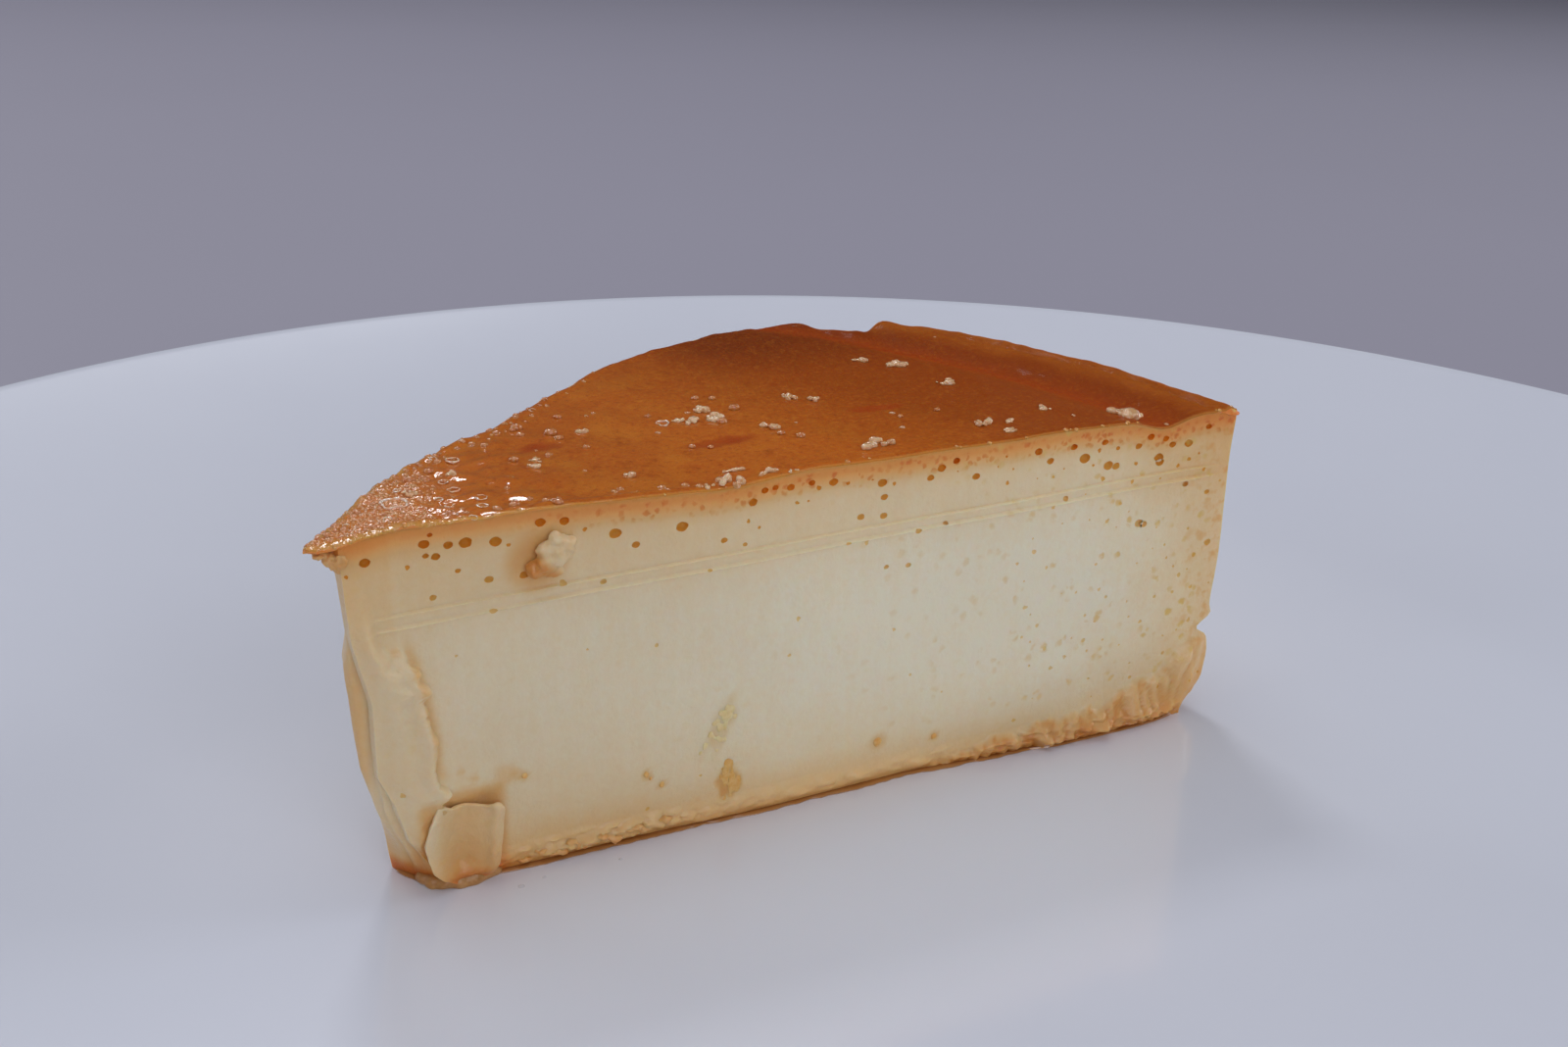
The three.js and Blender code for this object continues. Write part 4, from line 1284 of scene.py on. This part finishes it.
# the sheet that peeled off and stands at the foot of the cut
curl = {
    "columns": 44,
    "rows": 48,
    "thickness": 0.8,
    "rim": 0.32,
    # the sides' x over the height, and the upper edge's z over the width
    "left": [(0, 7.3), (0.05, 6.6), (0.12, 5.9), (0.25, 5.1), (0.4, 4.7), (0.6, 4.5), (0.8, 4.9), (1, 5.8)],
    "right": [(0, 9.6), (0.06, 10.4), (0.2, 10.9), (0.85, 11.4), (0.95, 11.4), (1, 11.1)],
    "crest": [(0, 8.4), (0.12, 8.3), (0.25, 7.8), (0.8, 7.6), (0.9, 7.9), (1, 7.6)],
    "foot": 0.5,
    "offFace": 0.75,
    "hollow": (0.65, 0.45, 0.2),  # depth, place over the width and width
    "fold": (0.5, 0.88, 0.08),
    "leaf": 0.45,
    "tuck": 0.6,
    "lip": 0.12,
    "waves": [(0.12, 1.6, 31), (0.04, 0.6, 32)],
}
deepInside = 20.0  # millimetres under the caramel, where none of its syrup reaches


def curlSheet():
    u, v = np.meshgrid(np.linspace(0, 1, curl["columns"]), np.linspace(0, 1, curl["rows"]))
    left = along(v, *curl["left"])
    x = left + (along(v, *curl["right"]) - left) * u
    z = curl["foot"] + (along(u, *curl["crest"]) - curl["foot"]) * v
    y = -curl["offFace"] - 0.3 * (2 * u - 1) ** 2 - 0.15 * u * v
    hollow = hump(curl["hollow"], u) * smooth(0.05, 0.3, v)
    fold = hump(curl["fold"], u) * smooth(0, 0.3, v)
    leaf = curl["leaf"] * smooth(0.28, 0, u) * smooth(0.02, 0.3, v) * smooth(1.05, 0.8, v)
    y += hollow - fold - leaf + curl["tuck"] * smooth(0.13, 0, v)
    y += 0.1 * grain(facePoints(x, z), 2.1, 21)
    body = np.clip(4 * u * (1 - u), 0, 1) ** 0.5 * np.clip(6 * (1 - v), 0, 1) ** 0.5
    thick = curl["rim"] + (curl["thickness"] - curl["rim"]) * body
    lipped = curl["lip"] * bump(0.0, 0.1, u) + curl["lip"] * bump(0, 0.08, v)
    front = np.stack([x, y - lipped, z], 2).reshape(-1, 3)
    back = np.stack([x, y + thick, z], 2).reshape(-1, 3)
    index = np.arange(front.shape[0]).reshape(curl["rows"], curl["columns"])
    shift = len(front)
    faces = []
    for i in range(curl["rows"] - 1):
        for j in range(curl["columns"] - 1):
            a, b, c, d = index[i, j], index[i, j + 1], index[i + 1, j + 1], index[i + 1, j]
            faces += [(a, b, c, d), (a + shift, d + shift, c + shift, b + shift)]
    edge = np.concatenate([index[0], index[1:, -1], index[-1, -2::-1], index[-2:0:-1, 0]])
    for a, b in zip(edge, np.roll(edge, -1)):
        faces.append((a, a + shift, b + shift, b))
    return np.vstack([front, back]), faces


peeledCurl = makePiece("peeledCurl", *curlSheet(), thinSkin)
roughened(subdivided(peeledCurl, 1), curl["waves"])
curlPoints = wedgePoints(peeledCurl.data)
cx, _, cz = curlPoints.T
middle = 0.27 * bump(8.4, 2.0, cx) * smooth(8.6, 7, cz)
browned = 0.75 * smooth(1.9, 0.6, cz + 0.5 * grain(curlPoints, 1.5, 33))
paintCustard(peeledCurl.data, 0.1 + middle - 0.2 * smooth(6.6, 5.2, cx) + browned, deepInside)

# scraps of custard on the cut: each lump's place and radii, how finely and how roughly the lumps are
# made, the voxel in metres and the rounds of smoothing that melt them, and waves of depth, size and seed
scraps = {
    "creamLump": {
        "lumps": [((17.3, -0.1, 29.6), (1.0, 0.9, 0.9)), ((16.7, -0.2, 28.9), (1.1, 1.0, 1.0)),
                  ((15.9, -0.1, 28.2), (1.1, 0.9, 1.0)), ((15.0, 0.0, 27.8), (0.9, 0.7, 0.8)),
                  ((16.4, 0.1, 27.4), (0.9, 0.6, 0.6)), ((17.8, 0.2, 29.0), (0.6, 0.5, 1.0)),
                  ((15.8, -0.1, 29.3), (0.9, 0.7, 0.8)), ((16.8, -0.2, 30.1), (0.8, 0.7, 0.6))],
        "melt": (4, 0.2, 0.00012, 3),
        "waves": [(0.22, 1.3, 35), (0.12, 0.5, 36), (0.04, 0.24, 46)],
    },
    "paleSmear": {"lumps": [], "melt": (3, 0.3, 0.0001, 1), "waves": [(0.12, 0.5, 38)]},
    "syrupPatch": {
        "lumps": [((32.4, 0, 5.9), (0.45, 0.36, 0.55)), ((31.6, 0, 3.7), (0.3, 0.4, 1.3)),
                  ((32.15, 0, 4.2), (0.28, 0.42, 1.5)), ((32.75, 0, 3.7), (0.3, 0.4, 1.6)),
                  ((33.4, 0, 3.4), (0.28, 0.4, 1.1)), ((32.3, 0, 2.3), (0.8, 0.42, 0.45))],
        "melt": (4, 0.3, 0.00012, 1),
        "waves": [(0.16, 1.0, 39), (0.22, (0.4, 1, 1.6), 40)],
    },
    "footFlakes": {"lumps": [], "melt": (4, 0.2, 0.00014, 3), "waves": [(0.3, 0.8, 41), (0.14, 0.35, 42)]},
    "tipShreds": {
        "lumps": [((-1.7, 0.5, 31.5), (0.6, 0.6, 0.3)), ((-1.1, 0.5, 31.1), (0.5, 0.6, 0.5)),
                  ((-0.8, 0.2, 30.6), (0.35, 0.35, 0.5)), ((-0.5, 0.6, 30.3), (0.35, 0.5, 0.5)),
                  ((-0.2, 0.1, 30.9), (0.5, 0.35, 0.6))],
        "melt": (4, 0.2, 0.0001, 3),
        "waves": [(0.22, 0.6, 49), (0.12, 0.25, 50)],
    },
    "wetFoot": {
        "lumps": [((5.0, 1.7, 0.3), (0.9, 0.8, 0.6)), ((5.8, 0.9, 0.35), (1.0, 0.9, 0.7)),
                  ((6.7, 0.4, 0.4), (1.1, 0.9, 0.8)), ((7.7, 0.15, 0.4), (1.2, 0.9, 0.85)),
                  ((8.7, 0.15, 0.4), (1.2, 0.9, 0.85)), ((9.7, 0.3, 0.35), (1.1, 0.8, 0.75)),
                  ((10.5, 0.5, 0.3), (0.8, 0.7, 0.6))],
        "melt": (4, 0.2, 0.00018, 12),
        "waves": [(0.16, 1.6, 48), (0.04, 0.6, 83)],
    },
}
# the smear is many small grains along a slanting line
for index in range(34):
    ahead, aside, size = (noise.noise((index * 2.3, k * 4.1, 0.7)) for k in range(3))
    ahead += (index % 9 - 4) / 4.5
    size = 0.22 + 0.16 * size
    place = (31.7 + 1.1 * ahead + 1.5 * aside, 0, 9.9 + 2.0 * ahead - 0.6 * aside)
    scraps["paleSmear"]["lumps"].append((place, (size, 0.4, size * 1.3)))
# thin flakes along the foot: x, z, half width and half height
footLumps = [(13.4, 0.7, 0.8, 0.5), (14.9, 1.2, 0.7, 0.4), (16.3, 0.8, 0.9, 0.45), (17.6, 1.4, 0.5, 0.35),
             (18.8, 0.9, 0.8, 0.5), (20.3, 1.5, 0.6, 0.35), (21.4, 0.9, 0.9, 0.5), (23.2, 1.5, 0.8, 0.4),
             (24.4, 1.0, 0.7, 0.45), (26.3, 1.5, 0.7, 0.5)]
for x, z, halfWidth, halfHeight in footLumps:
    side = 0.16 - float(frontRelief(x, z))
    scraps["footFlakes"]["lumps"].append(((x, side, z), (halfWidth * 1.15, 0.4, halfHeight * 0.7)))


def scrap(name, finish):
    # a bit of custard made of melted lumps
    detail, roughness, voxel, rounds = scraps[name]["melt"]
    piece = fused(blobs(name, scraps[name]["lumps"], detail, roughness, finish), voxel, rounds)
    return roughened(piece, scraps[name]["waves"])


def pressed(piece, share):
    # squeezed flat against the cut face
    points = wedgePoints(piece.data)
    side = -frontRelief(points[:, 0], points[:, 2])
    points[:, 1] = side + 0.05 + (points[:, 1] - side) * share
    movePoints(piece.data, points)
    return piece


def soakScrap(piece, soak, uneven, size, seed):
    # the syrup in a scrap, a little uneven
    points = wedgePoints(piece.data)
    paintCustard(piece.data, soak + uneven * grain(points, size, seed), deepInside)


creamLump = scrap("creamLump", thinSkin)
cx, _, cz = wedgePoints(creamLump.data).T
soakScrap(creamLump, 0.3 + 1.1 * smooth(0.2, 1.6, 44.9 - cx - cz), 0.15, 0.6, 43)
paleSmear = pressed(scrap("paleSmear", yolkSkin), 0.25)
syrupPatch = pressed(scrap("syrupPatch", orangeSkin), 0.2)
spots = [((x, 0.12 - float(frontRelief(x, z)), z), (r * 0.85, 0.2, r)) for x, z, r in faceMarks["grains"]]
faceGrains = blobs("faceGrains", spots, 3, 0.25, orangeSkin)
footFlakes = scrap("footFlakes", thinSkin)
soakScrap(footFlakes, 0.25, 0.5, 1.1, 44)
tipShreds = scrap("tipShreds", thinSkin)
soakScrap(tipShreds, 0.75, 0.3, 0.7, 45)
wetFoot = scrap("wetFoot", wetShadedSkin)
print("scraps on the cut face made")

# crumbs, beads and bubble rims on the caramel
crumbs = {
    # the melted crumbs' voxel in metres and rounds of smoothing, and waves of depth, size and seed
    "melt": (0.00009, 1),
    "waves": [(0.12, 0.6, 51), (0.05, 0.25, 52)],
    "ringWaves": [(0.08, 0.5, 61)],
    # x, y, length, width, height
    "large": [(76.1, 4.6, 4.6, 2.5, 1.1), (62.2, 24.5, 2.9, 1.5, 0.7), (47.0, 18.7, 1.5, 1.2, 0.7),
              (48.9, 17.5, 1.2, 1.0, 0.6), (37.5, 18.1, 1.8, 1.6, 0.7), (35.4, 15.8, 1.7, 1.2, 0.6),
              (37.6, 15.7, 1.9, 1.2, 0.6), (34.3, 16.4, 1.3, 0.9, 0.4), (41.5, 11.4, 2.1, 1.0, 0.6),
              (48.0, 3.7, 3.6, 1.2, 0.8), (36.3, 1.5, 2.2, 0.8, 0.6), (32.4, 1.3, 2.0, 1.5, 0.8),
              (33.9, 3.5, 2.2, 0.9, 0.5), (30.5, 1.0, 1.1, 0.7, 0.5), (38.3, 1.0, 1.3, 0.6, 0.4),
              (60.2, 5.0, 2.2, 1.3, 0.7), (62.8, 4.8, 1.1, 0.7, 0.4), (61.5, 2.6, 1.4, 0.8, 0.4),
              (25.2, 5.2, 1.3, 0.8, 0.5), (59.4, 27.1, 1.8, 1.2, 0.5), (63.9, 17.5, 2.4, 1.0, 0.4),
              (18.8, 10.9, 1.4, 0.7, 0.4), (18.2, 9.4, 1.2, 0.7, 0.4), (11.3, 10.4, 1.1, 0.8, 0.5),
              (6.9, 7.2, 1.1, 1.0, 0.5), (68.2, 6.9, 1.6, 1.0, 0.4), (25.1, 16.8, 1.3, 0.8, 0.5)],
    # x, y and radius of the beads of syrup and the burst bubbles
    "beads": [(37.9, 14.5, 0.42), (40.5, 17.5, 0.45), (41.4, 9.4, 0.32), (42.7, 8.1, 0.38),
              (32.9, 10.0, 0.26), (34.4, 9.3, 0.22), (32.1, 18.3, 0.24), (17.3, 0.9, 0.35),
              (12.4, 1.3, 0.3), (13.9, 1.6, 0.36), (19.9, 19.4, 0.45), (22.3, 17.1, 0.5),
              (19.6, 17.4, 0.3), (22.6, 15.6, 0.32), (24.0, 12.6, 0.26), (17.1, 11.6, 0.35),
              (15.9, 16.0, 0.28), (24.3, 21.0, 0.3), (53.9, 9.6, 0.24), (58.4, 10.3, 0.26),
              (7.8, 10.2, 0.36), (9.0, 9.8, 0.3), (9.8, 11.6, 0.34), (10.4, 9.0, 0.26),
              (19.4, 19.0, 0.24), (38.3, 21.6, 0.3), (39.8, 21.0, 0.3)],
    "rings": [(5.4, 5.6, 1.1), (32.7, 16.1, 0.6), (12.3, 13.6, 0.55), (10.5, 6.8, 0.5),
              (12.0, 4.3, 0.5), (10.2, 8.9, 0.4), (11.6, 2.6, 0.4), (8.8, 5.2, 0.36), (9.2, 3.6, 0.35),
              (17.2, 1.4, 0.35), (6.2, 8.2, 0.3), (14.2, 2.4, 0.3)],
    # spacing in metres, density per square metre, smallest and largest in metres, how deep each sinks
    # as a share of its size, and the seed
    "syrupBeads": (0.0006, 2500000.0, 0.00014, 0.00042, 0.25, 11),
    "smallCrumbs": (0.0014, 160000.0, 0.00012, 0.00036, 0.2, 12),
    "smallRims": (0.001, 700000.0, 0.00012, 0.00036, 0.1, 13),
    "tipFroth": (0.00024, 9000000.0, 0.00008, 0.0002, 0.3, 15),
    "edgeFroth": (0.00036, 5000000.0, 0.00011, 0.00028, 0.3, 14),
}

spots = []
for index, (x, y, length, width, height) in enumerate(crumbs["large"]):
    for part in range(6):
        share = part / 5 - 0.5
        aside, size, lift = (noise.noise((index * 3.7, part * 1.9, k + 0.5)) for k in range(3))
        cx = x + 0.7 * length * share + 0.3 * width * size
        cy = y + 0.8 * width * aside
        size = (1 - 1.3 * share * share) * (0.8 + 0.7 * size)
        radii = (length * 0.23 * size, width * 0.4 * size, height * 0.6 * size)
        spots.append(((cx, cy, topHeight(cx, cy) + height * (0.12 + 0.3 * lift)), radii))
paleCrumbs = blobs("paleCrumbs", spots, 3, 0.25, largeSkin)
roughened(fused(paleCrumbs, *crumbs["melt"]), crumbs["waves"])
spots = [((x, y, topHeight(x, y) + 0.25 * radius), (radius * 1.25, radius, radius * 0.8))
         for x, y, radius in crumbs["beads"]]
clearBeads = blobs("clearBeads", spots, 3, 0.12, amberSkin)

points = []
faces = []
for index, (x, y, radius) in enumerate(crumbs["rings"]):
    shape, shapeFaces = ringShapes(1, 60 + index)[0]
    faces += [[corner + len(points) for corner in face] for face in shapeFaces]
    middle = np.array([x, y, topHeight(x, y) + 0.05])
    points += (middle + radius * np.array(shape)).tolist()
bubbleRims = makePiece("bubbleRims", points, faces, rimGlintSkin)
roughened(subdivided(bubbleRims, 2), crumbs["ringWaves"])

tx, ty, _ = wedgePoints(caramelTop.data).T
upward = outwardSides(caramelTop.data)[:, 2]
frontEdge = layerOutline()[0]
fromFront = ty - np.interp(tx, frontEdge[:, 0], frontEdge[:, 1])
flat = np.stack([tx, ty, 0 * tx], 1)
clumps = smooth(0.05, 0.5, grain(flat, 2.6, 70))
onTop = (upward > 0.7) * (np.arange(len(tx)) < layerTop)
alongRim = smooth(2.6, 0.6, layerEdge) * smooth(0.0, 3.0, ty) * smooth(34, 24, tx)
beadsWhere = 0.8 * alongRim + 0.6 * smooth(15, 6, tx) * clumps + 0.12 * clumps * smooth(34, 20, tx)
syrupBeads = scattered("syrupBeads", caramelTop, onTop * np.clip(beadsWhere, 0, 1),
                       lumpyShapes(4, 2, 0.12, 0.75, 80), amberSkin, *crumbs["syrupBeads"])
crumbWhere = 0.25 + 0.5 * bump(36, 6, tx) * bump(16, 4, ty) + 0.3 * bump(66, 8, tx) * bump(34, 8, ty)
crumbWhere = clumps * (crumbWhere + 0.3 * smooth(1.2, 0.4, layerEdge))
smallCrumbs = scattered("smallCrumbs", caramelTop, onTop * crumbWhere, lumpyShapes(5, 2, 0.4, 0.6, 90),
                        crumbSkin, *crumbs["smallCrumbs"])
rimWhere = 0.5 * alongRim + 0.7 * smooth(17, 9, tx) * smooth(2, 5, tx) * clumps
smallRims = scattered("smallRims", caramelTop, onTop * np.clip(rimWhere, 0, 1), ringShapes(4, 100), rimGlintSkin,
                      *crumbs["smallRims"])
fromRim = np.where(fromFront < 1.3, smooth(0.6, 1.1, layerEdge), 1)
frothTip = smooth(10.5, 4.5, tx + 3 * grain(flat, 2.4, 78)) * fromRim
tipFroth = scattered("tipFroth", caramelTop, onTop * frothTip, lumpyShapes(4, 2, 0.25, 0.8, 95),
                     tipFrothGlintSkin, *crumbs["tipFroth"])
frothWhere = smooth(0.5, 0.15, layerEdge) * (fromFront < 0.8)
frothWhere = frothWhere * np.clip(0.35 + 0.9 * grain(flat, 1.3, 71), 0, 1)
edgeFroth = scattered("edgeFroth", caramelTop, onTop * frothWhere, lumpyShapes(4, 2, 0.2, 0.8, 85),
                      frothSkin, *crumbs["edgeFroth"])
print("crumbs and beads made:", sum(len(piece.data.polygons) for piece in (
    syrupBeads, smallCrumbs, smallRims, tipFroth, edgeFroth)), "faces scattered")

# the syrup on the plate
pool = {
    "width": 0.42,
    "waves": [(0.9, 5, 120), (0.5, 1.2, 121)],
    "steps": 700,
    "wallRow": 3,  # the custard's level that it follows
    "rounds": 30,
    "tones": ((0.26, 0.085, 0.016), (0.62, 0.27, 0.07)),
    # share of the width outwards, or millimetres inwards below 0, and the height there
    "profile": [(-4.0, 0.12), (-0.5, 0.2), (0.02, 0.22), (0.2, 0.19), (0.42, 0.14), (0.65, 0.09),
                (0.86, 0.04), (1.0, 0.0)],
    "underside": [(0.98, -0.05), (-4.0, -0.05)],
    "drops": [((12.2, -2.4, 0.0), (0.3, 0.24, 0.14)), ((14.4, -1.9, 0.0), (0.2, 0.16, 0.1)),
              ((21.3, -2.0, 0.0), (0.2, 0.16, 0.1))],
}


def syrupRing():
    flat = walls[pool["wallRow"]][:, :2]
    closed = np.vstack([flat, flat[:1]])
    length = np.append(0, np.cumsum(np.linalg.norm(np.diff(closed, axis=0), axis=1)))
    steps = np.linspace(0, length[-1], pool["steps"], endpoint=False)
    line = np.stack([np.interp(steps, length, closed[:, k]) for k in (0, 1)], 1)
    for _ in range(pool["rounds"]):
        line = (line + np.roll(line, 1, 0) + np.roll(line, -1, 0)) / 3
    out = outwardOf(line, 2)
    places = np.column_stack([line, np.zeros(len(line))])
    width = pool["width"] * (1 + unevenness(places, pool["waves"]))
    width *= 1 - 0.8 * smooth(58, 68, line[:, 0]) * smooth(6, 2, line[:, 1])
    rings = []
    for share, height in pool["profile"] + pool["underside"]:
        reach = np.broadcast_to(share if share < 0 else share * width, width.shape)
        rings.append(np.column_stack([line + out * reach[:, None], np.full(len(line), height)]))
    index = np.arange(len(rings) * len(line)).reshape(len(rings), -1)
    faces = []
    for row, after in zip(index, np.roll(index, -1, 0)):
        faces += np.stack([np.roll(row, -1), row, after, np.roll(after, -1)], -1).tolist()
    shares = [max(0.0, share) for share, _ in pool["profile"]] + [1.0, 0.0]
    return np.vstack(rings), faces, np.repeat(shares, len(line))


def syrupFinish():
    f = Finish("thinSyrup")
    share = f.attribute("reach")
    place = f.wedgePlace()
    speck = f.noise(place, 0.9, 3)
    colour = f.mix(f.line(share, (0, 0), (0.55, 0.5), (1, 1)), *pool["tones"])
    cover = f.line(share + (speck - 0.5) * 0.2, (0, 1), (0.6, 0.92), (0.85, 0.6), (1, 0.12))
    return f.principled(BaseColor=colour, Roughness=0.12, Alpha=cover, CoatWeight=1.0, CoatRoughness=0.05,
                        IOR=1.45)


def clearFinish():
    f = Finish("clearDrops")
    haze = f.line(f.noise(f.place, 0.0004, 2), (0.3, 0.2), (0.7, 0.35))
    return f.principled(BaseColor=(0.75, 0.72, 0.72), Roughness=0.05, Alpha=haze, CoatWeight=1.0,
                        CoatRoughness=0.03, IOR=1.4)


poolPoints, poolFaces, poolShare = syrupRing()
syrupPool = makePiece("syrupPool", poolPoints, poolFaces, syrupFinish())
paint(syrupPool.data, "reach", poolShare)
syrupDrops = blobs("syrupDrops", pool["drops"], 3, 0.1, clearFinish())
print("syrup made")

# the pieces' places in the frame
for piece in (plateGlazed, custardBody, caramelTop, peeledCurl, creamLump, paleSmear, syrupPatch, faceGrains,
              footFlakes, tipShreds, wetFoot, paleCrumbs, clearBeads, bubbleRims, syrupBeads, smallCrumbs,
              smallRims, tipFroth, edgeFroth, syrupPool, syrupDrops):
    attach(piece, "root")
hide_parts("plate")
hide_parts("custard")
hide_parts("caramel_layer")
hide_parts("custard_curl")

# the stage, in metres
studio = {
    "floorColour": (0.335, 0.31, 0.375),
    "world": (0.025, 0.028, 0.034),
    "camera": (-0.07208, -0.11200, 0.08896),
    "aim": (0.02173, 0.06880, 0.00581),
    "lens": 38.25,
    "rollDegrees": 2.0,
    "nearest": 0.005,
    # each light's place, aim, size, power and tint
    "lights": {
        "overhead": ((-0.04, 0.02, 1.0), (0, 0.02, 0), (1.3, 0.8), 3.9, (0.90, 0.94, 1.0)),
        "roomFill": ((-0.10, -1.25, 0.58), (0, 0.0, 0.01), (1.2, 0.7), 7.2, (0.90, 0.94, 1.0)),
        "leftRoom": ((-1.05, 0.20, 0.50), (0, 0.02, 0.01), (0.6, 0.5), 1.5, (0.90, 0.94, 1.0)),
        "rightRoom": ((1.05, -0.10, 0.50), (0, 0.02, 0.01), (0.6, 0.5), 3.0, (0.90, 0.94, 1.0)),
        "rightWall": ((1.22, 0.80, 0.50), (0, 0.0, 0.01), (1.2, 0.6), 0.5, (0.88, 0.93, 1.0)),
        "backRoom": ((-0.55, 1.05, 0.60), (0, 0.02, 0.02), (0.9, 0.5), 3.0, (0.90, 0.94, 1.0)),
        "backWindow": ((0.16, 0.85, 1.06), (-0.04, 0.01, 0.04), (0.3, 0.22), 3.3, (0.92, 0.96, 1.0)),
    },
}


def floorFinish():
    f = Finish("matteTable")
    cloud = f.noise(f.place, 0.25, 3)
    colour = f.mix(cloud, studio["floorColour"], tuple(c * 1.06 for c in studio["floorColour"]))
    return f.principled(BaseColor=colour, Roughness=0.6, IOR=1.45)


floor = makePiece("tableTop", [(-4, -4, 0), (4, -4, 0), (4, 4, 0), (-4, 4, 0)], [(0, 1, 2, 3)], floorFinish(),
                  inMetres=True)


def softLight(name, place, aim, size, power, tint):
    light = bpy.data.lights.new(name, "AREA")
    light.shape = "RECTANGLE"
    light.size, light.size_y = size
    light.energy = power
    light.color = tint
    lamp = bpy.data.objects.new(name, light)
    bpy.context.scene.collection.objects.link(lamp)
    lamp.location = place
    lamp.rotation_euler = (Vector(aim) - Vector(place)).to_track_quat("-Z", "Y").to_euler()


for lightName, settings in studio["lights"].items():
    softLight(lightName, *settings)

world = bpy.data.worlds.new("dimRoom")
world.use_nodes = True
world.node_tree.nodes["Background"].inputs["Color"].default_value = asColour(studio["world"])
bpy.context.scene.world = world

camera = bpy.data.objects.new("camera", bpy.data.cameras.new("camera"))
bpy.context.scene.collection.objects.link(camera)
camera.data.lens = studio["lens"]
camera.data.clip_start = studio["nearest"]
camera.location = studio["camera"]
straight = (Vector(studio["aim"]) - Vector(studio["camera"])).to_track_quat("-Z", "Y")
camera.rotation_euler = (straight @ Quaternion((0, 0, 1), math.radians(studio["rollDegrees"]))).to_euler()
bpy.context.scene.camera = camera
bpy.context.scene.view_settings.view_transform = "Standard"
print("stage made")
